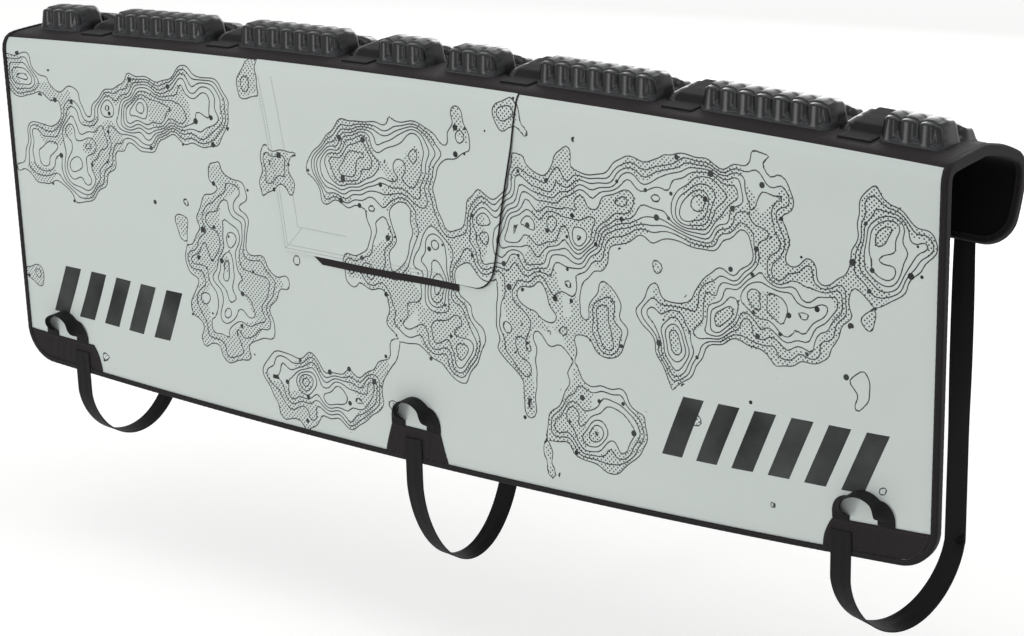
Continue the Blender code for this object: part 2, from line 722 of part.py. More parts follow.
LOOP_CENTRES = {"left": LEFT_LOOP_INSET - HALF_LENGTH, "middle": MIDDLE_PATCH_CENTRE,
                "right": HALF_LENGTH - RIGHT_LOOP_INSET}
STRAP_FRONT = {"left": LEFT_STRAP_INSET - HALF_LENGTH, "middle": -0.022,
               "right": HALF_LENGTH - RIGHT_STRAP_INSET}
STRAP_REAR = {"left": LEFT_BUCKLE_INSET - HALF_LENGTH, "middle": 0.012,
              "right": HALF_LENGTH - RIGHT_BUCKLE_INSET}
STRAP_HANG = {"left": 0.125, "middle": 0.176, "right": 0.127}
STRAP_TWIST = {"left": 8.0, "middle": 12.0, "right": 38.0}


def ribbon_rings(centres, across, normals, width, thickness):
    """Four corners round each point of a ribbon."""
    rings = []
    for a, b in ((-1, -1), (1, -1), (1, 1), (-1, 1)):
        rings.append(centres + across * (a * width / 2) + normals * (b * thickness / 2))
    return np.stack(rings, axis=1)


def unit(vectors):
    """Vectors scaled to length one."""
    return vectors / np.linalg.norm(vectors, axis=-1, keepdims=True)


def tangents(centres):
    """Directions along a path: the mean of the two runs that meet at each point."""
    runs = unit(np.diff(centres, axis=0))
    return unit(np.vstack([runs[:1], runs[:-1] + runs[1:], runs[-1:]]))


def make_grab_loop(side):
    """A loop of webbing that stands off the panel: flat at its feet and edge-on at its crown."""
    steps = 14
    turn = np.linspace(0, math.pi, steps + 1)
    reach = LOOP_FOOT_SPACING / 2
    x = LOOP_CENTRES[side] - reach * np.cos(turn)
    s = PATCH_HEIGHT + CLEARANCE + LOOP_FOOT + (LOOP_RISE - LOOP_FOOT) * np.sin(turn)
    twist = math.pi / 2 * np.clip(np.sin(turn) * 1.35, 0, 1) ** 1.2
    along = unit(np.stack([reach * np.sin(turn), (LOOP_RISE - LOOP_FOOT) * np.cos(turn)], axis=1))
    foot = np.array([[x[0], PATCH_HEIGHT + CLEARANCE]]), np.array([[x[-1], PATCH_HEIGHT + CLEARANCE]])
    flat = np.concatenate([foot[0], np.stack([x, s], axis=1), foot[1]])
    along = np.concatenate([[[0.0, 1.0]], along, [[0.0, -1.0]]])
    twist = np.concatenate([[0.0], twist, [0.0]])
    lift = SKIN_BASE + WEBBING_THICKNESS / 2 * np.cos(twist) + LOOP_WEBBING / 2 * np.sin(twist)
    centres = np.column_stack([flat, lift])
    tangent = tangents(centres)
    inside = np.column_stack([along[:, 1], -along[:, 0], np.zeros(len(along))])
    outward = np.array([0.0, 0.0, 1.0])
    across = inside * np.cos(twist)[:, None] + outward * np.sin(twist)[:, None]
    across = unit(across - tangent * np.sum(across * tangent, axis=1, keepdims=True))
    across[0] = across[-1] * 0 + [1.0, 0.0, 0.0]
    across[-1] = [-1.0, 0.0, 0.0]
    tangent[0], tangent[-1] = [0.0, 1.0, 0.0], [0.0, -1.0, 0.0]
    rings = ribbon_rings(centres, across, np.cross(tangent, across), LOOP_WEBBING, WEBBING_THICKNESS)
    points = place(rings[..., 0], rings[..., 1], rings[..., 2])
    make_node(f"grab_loop_{side}", points, loft_faces(len(rings), 4), "black_webbing", 50)


def pad_slope(x, s):
    """Direction along the pad at a place on its bowed surface."""
    return unit(place(x + RIDGE_PITCH, s, 0.0) - place(x - RIDGE_PITCH, s, 0.0))


def hanging_path(side):
    """Centre line of one tailgate strap: patch, short drop, swing under the gate and the way up."""
    face = RIM + CLEARANCE + WEBBING_THICKNESS / 2
    front, rear = STRAP_FRONT[side], STRAP_REAR[side]
    down = place(front, np.array([BINDING_FACE + WEBBING_TAB, BINDING_FACE, -RIM]), face)
    end = SECTION.end
    middle_bar = end - BUCKLE_RISE - 2 * BUCKLE_BAR - BUCKLE_SLOT
    lower = [end + RIM, *reversed(SECTION.stations(middle_bar, end)), middle_bar]
    up = place(rear, np.array(lower), face)
    bottom = down[-1, 2] - STRAP_HANG[side]
    turn = np.linspace(0, math.pi, SWING_STEPS + 1)
    share = (1 - np.cos(turn)) / 2
    swing = np.column_stack([
        front + (rear - front) * share,
        down[-1, 1] + (up[0, 1] - down[-1, 1]) * share,
        bottom + (STRAP_HANG[side] - WEBBING_DROP) * (1 - np.sin(turn)),
    ])
    rise = np.linspace(swing[-1], up[0], RISE_STEPS + 1)[1:-1]
    return down, swing, rise, up, face


def buckle_turn(side, face):
    """The strap's end: round the buckle's middle bar and down over its lower bar."""
    bar = SECTION.end - BUCKLE_RISE - 2 * BUCKLE_BAR - BUCKLE_SLOT
    under = face
    over = BUCKLE_BASE + BUCKLE_THICKNESS + CLEARANCE + WEBBING_THICKNESS / 2
    middle, radius = (under + over) / 2, (over - under) / 2
    angle = np.linspace(-math.pi / 2, math.pi / 2, 7)[1:]
    s = bar - np.cos(angle) * radius * 0.8
    out = middle + np.sin(angle) * radius
    low_bar = SECTION.end - BUCKLE_RISE
    rest = under + WEBBING_THICKNESS + CLEARANCE
    tail = low_bar + WEBBING_TAIL
    s = np.concatenate([s, [low_bar + 0.001, low_bar + 0.004, tail - 0.002, tail]])
    out = np.concatenate([out, [over, over * 0.85, rest, rest]])
    return place(STRAP_REAR[side], s, out)


def make_tailgate_strap(side):
    """Webbing sewn on the hem patch, hung under the tailgate and buckled to the rear flap."""
    down, swing, rise, up, face = hanging_path(side)
    centres = np.vstack([down, swing, rise, up, buckle_turn(side, face)])
    tangent = tangents(centres)
    in_air = len(swing) + len(rise)
    level = np.concatenate([np.zeros(len(down)), np.linspace(0, 1, in_air),
                            np.ones(len(centres) - len(down) - in_air)])[:, None]
    base = (1 - level) * pad_slope(STRAP_FRONT[side], 0.0) + level * pad_slope(STRAP_REAR[side], SECTION.end)
    count = np.arange(len(centres))
    start, stop = len(down), len(down) + len(swing) + len(rise)
    twist = np.clip((count - start) / len(swing), 0, 1) * np.clip((stop - count) / 2, 0, 1)
    angle = np.radians(STRAP_TWIST[side]) * twist
    base = unit(base - tangent * np.sum(base * tangent, axis=1, keepdims=True))
    normal = np.cross(tangent, base)
    across = base * np.cos(angle)[:, None] + normal * np.sin(angle)[:, None]
    normal = np.cross(tangent, across)
    rings = ribbon_rings(centres, across, normal, TAILGATE_WEBBING, WEBBING_THICKNESS)
    make_node(f"tailgate_strap_{side}", rings, loft_faces(len(rings), 4), "black_webbing", 50)


def make_buckle(side):
    """A three-bar buckle over the strap, and the webbing tab that holds its upper bar."""
    low = SECTION.end - BUCKLE_RISE
    steps = np.array([0, BUCKLE_BAR, BUCKLE_SLOT, BUCKLE_BAR, BUCKLE_SLOT, BUCKLE_BAR])
    rows = low - np.cumsum(steps)
    half = TAILGATE_WEBBING / 2 + CLEARANCE * 3
    columns = STRAP_REAR[side] + np.array([-half - BUCKLE_RAIL, -half, half, half + BUCKLE_RAIL])
    x, s = np.meshgrid(columns, rows)
    points = np.concatenate([place(x, s, BUCKLE_BASE + BUCKLE_THICKNESS), place(x, s, BUCKLE_BASE)])
    keep = np.ones((5, 3), bool)
    keep[1::2, 1] = False
    make_node(f"strap_buckle_{side}", points, shell_faces(6, 4, keep), "black_plastic")

    bar_low, bar_high = rows[-2], rows[-1]
    floor = SKIN_BASE + WEBBING_THICKNESS / 2
    over = BUCKLE_BASE + BUCKLE_THICKNESS + CLEARANCE + WEBBING_THICKNESS / 2
    slot = bar_low + CLEARANCE + WEBBING_THICKNESS
    end = bar_high - BUCKLE_TAB
    path = [(end, floor), *[(s, floor) for s in SECTION.stations(end, slot)],
            (slot - 0.001, floor), (slot + 0.0006, floor + 0.0016), (slot + 0.0006, over - 0.0016),
            (slot - 0.001, over), (bar_high, over), (bar_high - 0.004, over * 0.75),
            (bar_high - 0.009, floor + WEBBING_THICKNESS + CLEARANCE),
            (end, floor + WEBBING_THICKNESS + CLEARANCE)]
    half = TAILGATE_WEBBING / 2
    make_band(f"buckle_tab_{side}", STRAP_REAR[side] - half, STRAP_REAR[side] + half, path,
              WEBBING_THICKNESS, "black_webbing")


def make_carry_tab():
    """A folded webbing tab on the rear edge of the top panel."""
    rear = SECTION.bend_start + CARRY_TAB_DEPTH / 2
    front = rear - CARRY_TAB_DEPTH
    floor = SKIN_BASE + WEBBING_THICKNESS / 2
    high = SKIN_BASE + CARRY_TAB_THICKNESS - WEBBING_THICKNESS / 2
    radius = (high - floor) / 2
    angle = np.linspace(-math.pi / 2, math.pi / 2, 6)
    turn = [(rear + radius * math.cos(a), floor + radius + radius * math.sin(a)) for a in angle]
    path = [(front, floor), *[(s, floor) for s in SECTION.stations(front, rear)], *turn,
            (front, floor + WEBBING_THICKNESS + CLEARANCE)]
    left = CARRY_TAB_CENTRE - CARRY_TAB_WIDTH / 2
    make_band("carry_tab", left, left + CARRY_TAB_WIDTH, path, WEBBING_THICKNESS, "black_webbing")


def make_all():
    """Every node of the pad."""
    make_padding()
    make_binding()
    make_blocks()
    make_frame_straps()
    make_window_flap()
    make_patches()
    make_carry_tab()
    for side in LOOP_CENTRES:
        make_grab_loop(side)
        make_tailgate_strap(side)
        make_buckle(side)


clear_scene()
make_all()
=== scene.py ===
"""Looks of the tailgate bike pad: covers, moulded blocks, edge tape, webbing, stitching and print.

The pad is drawn as it is cut. A flat pattern has x along the pad and s along its section, from the
hem of the front panel up over the fold, back across the top and down the rear flap. Pattern.fold()
turns (x, s, height above the cloth) into metres, so each layer, patch and seam lies on the one below.
"""

from __future__ import annotations

import logging
import math
from dataclasses import dataclass, field
from enum import Enum

import bmesh
import bpy
import numpy as np
from mathutils import Matrix, Vector

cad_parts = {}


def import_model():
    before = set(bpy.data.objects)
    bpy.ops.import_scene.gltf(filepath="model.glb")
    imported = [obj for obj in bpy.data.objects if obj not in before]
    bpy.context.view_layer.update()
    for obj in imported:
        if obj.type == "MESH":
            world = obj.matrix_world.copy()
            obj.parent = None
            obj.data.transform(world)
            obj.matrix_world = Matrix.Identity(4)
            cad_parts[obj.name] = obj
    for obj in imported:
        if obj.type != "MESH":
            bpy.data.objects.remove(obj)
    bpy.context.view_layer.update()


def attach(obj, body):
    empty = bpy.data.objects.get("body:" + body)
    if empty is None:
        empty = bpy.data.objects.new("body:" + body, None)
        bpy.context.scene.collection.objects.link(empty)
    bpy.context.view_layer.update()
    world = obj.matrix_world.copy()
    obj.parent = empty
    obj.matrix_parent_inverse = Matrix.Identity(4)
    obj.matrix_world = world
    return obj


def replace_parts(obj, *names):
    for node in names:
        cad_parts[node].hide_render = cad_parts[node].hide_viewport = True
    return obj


LOG = logging.getLogger("pad")
Array, Material, Piece = np.ndarray, bpy.types.Material, bpy.types.Object
Tree, Socket = bpy.types.NodeTree, bpy.types.NodeSocket
BODY = "root"
MILLIMETRE = 0.001
# Rounding of a cut cloth's edge, and height of a seam's thread above its cloth
CUT_EDGE, SEAM_LIFT = 0.0004, 0.0001


# Geometry


def unit(vectors: Array) -> Array:
    """Vectors scaled to length one."""
    return vectors / np.maximum(np.linalg.norm(vectors, axis=-1, keepdims=True), 1e-12)


def smoothstep(values: Array) -> Array:
    """A soft ramp from 0 to 1: 3v^2 - 2v^3 of the value clipped to 0..1."""
    v = np.clip(values, 0.0, 1.0)
    return v * v * (3 - 2 * v)


def grid_quads(rows: int, columns: int, wrap_rows: bool = False, wrap_columns: bool = False) -> Array:
    """Corner indices of the quads of a grid of points.

    Args:
        rows: number of rows of points.
        columns: number of points in a row.
        wrap_rows: whether the last row joins the first.
        wrap_columns: whether the last column joins the first.

    Returns:
        Array of four indices for each quad, counter-clockwise when columns run right and rows up.
    """
    i = np.arange(rows if wrap_rows else rows - 1)[:, None]
    j = np.arange(columns if wrap_columns else columns - 1)[None, :]
    after_i, after_j = (i + 1) % rows, (j + 1) % columns
    corners = [i * columns + j, i * columns + after_j, after_i * columns + after_j, after_i * columns + j]
    return np.stack(np.broadcast_arrays(*corners), axis=-1).reshape(-1, 4)


def lengths_along(points: Array) -> Array:
    """Length of a polyline up to each of its points: the running sum of its steps."""
    return np.concatenate([[0.0], np.cumsum(np.linalg.norm(np.diff(points, axis=0), axis=1))])


def read_at(wanted: Array, along: Array, rows: Array) -> Array:
    """Rows known at some lengths, read at wanted ones, straight between them."""
    return np.stack([np.interp(wanted, along, column) for column in rows.T], axis=-1)


def resample(points: Array, step: float) -> Array:
    """Points at even steps along a polyline, both ends kept.

    Args:
        points: the polyline's points, one a row.
        step: wanted distance between points.

    Returns:
        The new points, spaced by the length divided into a whole number of steps.
    """
    points = np.asarray(points, float)
    along = lengths_along(points)
    wanted = np.linspace(0, along[-1], max(2, int(round(along[-1] / step)) + 1))
    return read_at(wanted, along, points)


def rounded(points: list, radii: list | tuple, step: float) -> Array:
    """A polyline whose inner corners are turned into arcs.

    Each corner is cut back by radius * tan(turn / 2) on both sides and joined by a quadratic curve
    through the two cuts and the corner, which follows the arc within a few percent.

    Args:
        points: corners in the plane or in space.
        radii: one radius for each inner corner.
        step: distance between points of the result.

    Returns:
        Points along the rounded path.
    """
    points = np.asarray(points, float)
    pieces = [points[:1]]
    blend = np.linspace(0, 1, 9)[:, None]
    for before, corner, after, radius in zip(points, points[1:], points[2:], radii):
        into, out_of = unit(corner - before), unit(after - corner)
        turn = math.acos(float(np.clip(np.dot(into, out_of), -1, 1)))
        room = 0.49 * min(np.linalg.norm(corner - before), np.linalg.norm(after - corner))
        cut = min(radius * math.tan(min(turn, 3.0) / 2), room)
        start, stop = corner - into * cut, corner + out_of * cut
        pieces.append((1 - blend) ** 2 * start + 2 * blend * (1 - blend) * corner + blend ** 2 * stop)
    pieces.append(points[-1:])
    return resample(np.concatenate(pieces), step)


def spline(points: Array, step: float) -> Array:
    """A smooth curve through points: Catmull-Rom pieces, read at even steps of its length.

    Args:
        points: points that the curve goes through.
        step: distance between points of the result.

    Returns:
        Points along the curve.
    """
    p = np.asarray(points, float)
    ends = np.concatenate([[2 * p[0] - p[1]], p, [2 * p[-1] - p[-2]]])
    t = np.linspace(0, 1, 12, endpoint=False)[None, :, None]
    a, b, c, d = (ends[k:len(ends) - 3 + k, None, :] for k in range(4))
    curve = 0.5 * (2 * b + (c - a) * t + (2 * a - 5 * b + 4 * c - d) * t ** 2
                   + (3 * b - a - 3 * c + d) * t ** 3)
    return resample(np.concatenate([curve.reshape(-1, p.shape[1]), p[-1:]]), step)


def tangents(points: Array) -> Array:
    """Directions along a path: central differences, scaled to length one."""
    return unit(np.gradient(points, axis=0))


def square_to(across: Array, ahead: Array) -> Array:
    """Directions square to a path: across less its share along the path, at length one."""
    return unit(across - ahead * np.sum(across * ahead, axis=1, keepdims=True))


def new_object(name: str, data: bpy.types.ID) -> Piece:
    """A new object in the scene.

    Args:
        name: its name.
        data: its mesh, camera or lamp data.

    Returns:
        The new object.
    """
    made = bpy.data.objects.new(name, data)
    bpy.context.scene.collection.objects.link(made)
    return made


def new_piece(name: str, points: Array, faces: list, material: Material,
              flat_map: Array | None = None, values: dict[str, Array] | None = None,
              smooth: float = 40.0) -> Piece:
    """A mesh object from arrays, riding on the pad's one body.

    Args:
        name: name of the piece.
        points: its points, any shape that ends in three.
        faces: arrays or lists of corner indices.
        material: its finish.
        flat_map: two pattern coordinates in metres for each point, for the UV map.
        values: numbers for each point, by attribute name.
        smooth: angle in degrees above which an edge stays sharp.

    Returns:
        The new object.
    """
    points = np.asarray(points, float).reshape(-1, 3)
    loops = np.concatenate([np.asarray(group).reshape(-1) for group in faces])
    sizes = np.concatenate([
        np.full(len(group), group.shape[1]) if isinstance(group, np.ndarray) and group.ndim == 2
        else [len(group)] for group in faces]).astype(int)
    used, loops = np.unique(loops, return_inverse=True)
    mesh = bpy.data.meshes.new(name)
    mesh.vertices.add(len(used))
    mesh.vertices.foreach_set("co", points[used].ravel())
    mesh.loops.add(len(loops))
    mesh.loops.foreach_set("vertex_index", loops.ravel().astype(np.int32))
    mesh.polygons.add(len(sizes))
    mesh.polygons.foreach_set("loop_start", np.concatenate([[0], np.cumsum(sizes)[:-1]]).astype(np.int32))
    mesh.update(calc_edges=True)
    if flat_map is not None:
        uv = np.asarray(flat_map, float).reshape(-1, 2)[used][loops.ravel()]
        mesh.uv_layers.new(name="pattern").data.foreach_set("uv", uv.ravel())
    for label, numbers in (values or {}).items():
        attribute = mesh.attributes.new(label, "FLOAT", "POINT")
        attribute.data.foreach_set("value", np.asarray(numbers, float).ravel()[used])
    mesh.validate()
    mesh.shade_smooth()
    mesh.set_sharp_from_angle(angle=math.radians(smooth))
    mesh.materials.append(material)
    piece = new_object(name, mesh)
    outward(piece)
    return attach(piece, BODY)


def outward(piece: Piece) -> None:
    """Turn a closed piece's faces outwards, told by the sign of its volume.

    Args:
        piece: a closed piece, turned where it lies.
    """
    work = bmesh.new()
    work.from_mesh(piece.data)
    if work.calc_volume(signed=True) < 0:
        bmesh.ops.reverse_faces(work, faces=work.faces)
        work.to_mesh(piece.data)
    work.free()


def stand_for(piece: Piece, slot: str, *nodes: str) -> Piece:
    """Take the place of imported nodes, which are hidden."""
    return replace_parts(piece, *nodes) if nodes else piece


def soften(piece: Piece, width: float, segments: int = 2, angle: float = 50.0) -> None:
    """Round a piece's sharp edges with a bevel.

    Args:
        piece: the piece.
        width: how far the bevel reaches.
        segments: faces across it.
        angle: angle in degrees above which an edge is rounded.
    """
    bevel = piece.modifiers.new("edges", "BEVEL")
    bevel.width = width
    bevel.segments = segments
    bevel.limit_method = "ANGLE"
    bevel.angle_limit = math.radians(angle)


def plate(top: Array, bottom: Array, keep: Array | None = None) -> tuple[Array, list]:
    """A closed sheet from two grids of points, with walls round what is kept.

    Args:
        top: rows by columns of points, columns to the right and rows up, seen from outside.
        bottom: the same grid on the sheet's other side.
        keep: which cells are kept; the others are holes.

    Returns:
        Points and groups of faces.
    """
    rows, columns = top.shape[:2]
    if keep is None:
        keep = np.ones((rows - 1, columns - 1), bool)
    quads = grid_quads(rows, columns).reshape(rows - 1, columns - 1, 4)
    back = rows * columns
    groups = [quads[keep], back + quads[keep][:, ::-1]]
    around = np.pad(keep, 1)
    for (down, right), (p, q) in (((-1, 0), (0, 1)), ((0, 1), (1, 2)), ((1, 0), (2, 3)), ((0, -1), (3, 0))):
        neighbour = around[1 + down:rows + down, 1 + right:columns + right]
        edge = quads[keep & ~neighbour]
        first, second = edge[:, p], edge[:, q]
        groups.append(np.stack([second, first, back + first, back + second], axis=1))
    return np.concatenate([top.reshape(-1, 3), bottom.reshape(-1, 3)]), groups


def cloth_piece(name: str, top: Array, bottom: Array, flat: tuple[Array, Array], material: Material,
                values: dict[str, Array] | None = None, keep: Array | None = None) -> Piece:
    """A closed sheet that carries its flat map and its numbers on both faces.

    Args:
        name: name of the piece.
        top: grid of points on its outer face.
        bottom: the same grid on its inner face.
        flat: pattern coordinates x and s of the grid.
        material: its finish.
        values: numbers for each grid point, by attribute name.
        keep: which cells are kept; the others are holes.

    Returns:
        The new piece.
    """
    points, faces = plate(top, bottom, keep)
    both = {label: np.tile(numbers.ravel(), 2) for label, numbers in (values or {}).items()}
    return new_piece(name, points, faces, material, np.tile(np.stack(flat, axis=-1), (2, 1, 1)), both)


# Materials


def linear(colour: str) -> tuple[float, float, float, float]:
    """An sRGB hex colour as linear RGBA, by the sRGB curve."""
    parts = [int(colour[k:k + 2], 16) / 255 for k in (1, 3, 5)]
    return (*[v / 12.92 if v <= 0.04045 else ((v + 0.055) / 1.055) ** 2.4 for v in parts], 1.0)


def connect(tree: Tree, node: bpy.types.Node, inputs: dict) -> None:
    """Link sockets to a node's inputs, and set plain values on them.

    Args:
        tree: node tree that holds the node.
        node: the node.
        inputs: values or sockets by input name or number.
    """
    for key, value in inputs.items():
        if isinstance(value, Socket):
            tree.links.new(value, node.inputs[key])
        else:
            node.inputs[key].default_value = value


def add_node(tree: Tree, kind: str, inputs: dict | None = None,
             output: int | str = 0, **settings) -> Socket:
    """Add a node with its settings and links.

    Args:
        tree: node tree that gets the node.
        kind: Blender's name of the shader node's type, without "ShaderNode".
        inputs: values or sockets by input name or number.
        output: which output is wanted.
        **settings: properties of the node.

    Returns:
        The wanted output socket.
    """
    node = tree.nodes.new("ShaderNode" + kind)
    for key, value in settings.items():
        setattr(node, key, value)
    connect(tree, node, inputs or {})
    return node.outputs[output]


# Output and setting of a Mix node that mixes colours
COLOUR_MIX = {"output": 2, "data_type": "RGBA"}


def new_material(name: str) -> tuple[Material, Tree]:
    """A material with an empty Principled shader, and its node tree.

    Args:
        name: its name.

    Returns:
        The material and its node tree.
    """
    material = bpy.data.materials.new(name)
    material.use_nodes = True
    return material, material.node_tree


def shaded(material: Material, inputs: dict) -> Material:
    """The material once its shader has these links, and these constants on its own sockets.

    Args:
        material: a material with a Principled shader.
        inputs: values or sockets by the shader's input name.

    Returns:
        The same material.
    """
    tree = material.node_tree
    connect(tree, tree.nodes["Principled BSDF"], inputs)
    return material


class Weave(Enum):
    """How a cloth's threads lie."""

    PLAIN = "plain"
    TWILL = "twill"
    HERRINGBONE = "herringbone"
    PILE = "pile"


@dataclass(frozen=True)
class Cloth:
    """A woven or brushed cloth, its pattern read from the piece's own flat map in metres.

    One field gives how many blotches there are in a metre; they rumple the cloth and lift its colour
    towards the lit one as painted sheen. Colour_share is how far threads and blotches each move the
    colour towards the lit one: painted highlight on the thread crowns.
    """

    name: str
    colour: str
    lit_colour: str
    weave: Weave
    thread_mm: float
    depth_mm: float
    roughness: float
    sheen: float
    specular: float
    # Blotches in a metre that rumple the cloth and lift its colour as painted sheen
    rumple_and_sheen_scale: float = 14.0
    colour_share: float = 0.55
    sheen_roughness: float = 0.5

    def threads(self, tree: Tree) -> Socket:
        """Height of the threads, 0 to 1.

        Plain weave is sin(u) sin(v). Twill is sin(u + v). Herringbone turns the twill's slant at
        every fifth thread. Pile is noise of the thread's size.

        Args:
            tree: node tree that gets the nodes.

        Returns:
            The height socket.
        """
        flat = add_node(tree, "UVMap", uv_map="pattern")
        turns = 2 * math.pi / (self.thread_mm * MILLIMETRE)
        if self.weave is Weave.PILE:
            return add_node(tree, "TexNoise", {
                "Vector": flat, "Scale": 1 / (self.thread_mm * MILLIMETRE), "Detail": 3.0,
                "Roughness": 0.65})
        scaled = add_node(tree, "VectorMath", {0: flat, 1: (turns, turns, 0.0)}, operation="MULTIPLY")
        u, v = (add_node(tree, "SeparateXYZ", {0: scaled}, output=k) for k in (0, 1))
        if self.weave is Weave.PLAIN:
            first, second = (add_node(tree, "Math", {0: part}, operation="SINE") for part in (u, v))
            wave = add_node(tree, "Math", {0: first, 1: second}, operation="MULTIPLY")
        else:
            if self.weave is Weave.HERRINGBONE:
                v = add_node(tree, "Math", {0: v, 1: 10 * math.pi}, operation="PINGPONG")
            both = add_node(tree, "Math", {0: u, 1: v}, operation="ADD")
            wave = add_node(tree, "Math", {0: both}, operation="SINE")
        return add_node(tree, "Math", {0: wave, 1: 0.5, 2: 0.5}, operation="MULTIPLY_ADD")

    def material(self) -> Material:
        """The cloth's finish: threads in bump and colour, their crowns lifted as painted highlight, and
        slow blotches that rumple the cloth and carry painted sheen.

        Returns:
            The new material.
        """
        material, tree = new_material(self.name)
        height = self.threads(tree)
        place = add_node(tree, "TexCoord", output="Object")
        rumple_and_sheen = add_node(tree, "TexNoise", {"Vector": place, "Scale": self.rumple_and_sheen_scale, "Detail": 4.0})
        # Thread crowns and blotches lift the colour towards the lit colour: painted highlight and painted
        # sheen
        share = add_node(tree, "Math", {0: height, 1: self.colour_share}, operation="MULTIPLY")
        share = add_node(tree, "Math", {0: rumple_and_sheen, 1: self.colour_share, 2: share},
                         operation="MULTIPLY_ADD", use_clamp=True)
        colour = add_node(tree, "Mix", {
            "Factor": share, "A": linear(self.colour), "B": linear(self.lit_colour)}, **COLOUR_MIX)
        bump = add_node(tree, "Bump", {
            "Height": height, "Distance": self.depth_mm * MILLIMETRE, "Strength": 1.0})
        rumple = add_node(tree, "Bump", {
            "Height": rumple_and_sheen, "Distance": 1.2 * MILLIMETRE, "Strength": 0.6, "Normal": bump})
        return shaded(material, {
            "Base Color": colour, "Normal": rumple, "Roughness": self.roughness,
            "Specular IOR Level": self.specular, "Sheen Weight": self.sheen,
            "Sheen Roughness": self.sheen_roughness})


# Woven polyester, dull and slightly brown where it catches the light
TEXTILE = Cloth("woven_polyester", "#131011", "#262122", Weave.PLAIN, 0.95, 0.10, 0.72, 0.03, 0.16)
# Folded binding tape with a fine cross rib
BINDING_TAPE = Cloth("binding_tape", "#100E0F", "#232020", Weave.TWILL, 0.9, 0.12, 0.70, 0.03, 0.15)
# Polypropylene webbing, woven in a herringbone, with a faint shine
WEBBING = Cloth("polypropylene_webbing", "#080808", "#191919", Weave.HERRINGBONE, 1.5, 0.22, 0.66, 0.03,
                0.14)
# Hook-and-loop strap, a mat of fine loops that drinks the light
LOOP_FACE = Cloth("hook_and_loop_strap", "#101011", "#222224", Weave.PILE, 0.8, 0.35, 0.90, 0.06, 0.14)
# Brushed fleece, soft against the tailgate's paint, and the darkest cloth
FLEECE = Cloth("brushed_fleece", "#060506", "#100E10", Weave.PILE, 1.1, 0.50, 1.0, 0.08, 0.15)


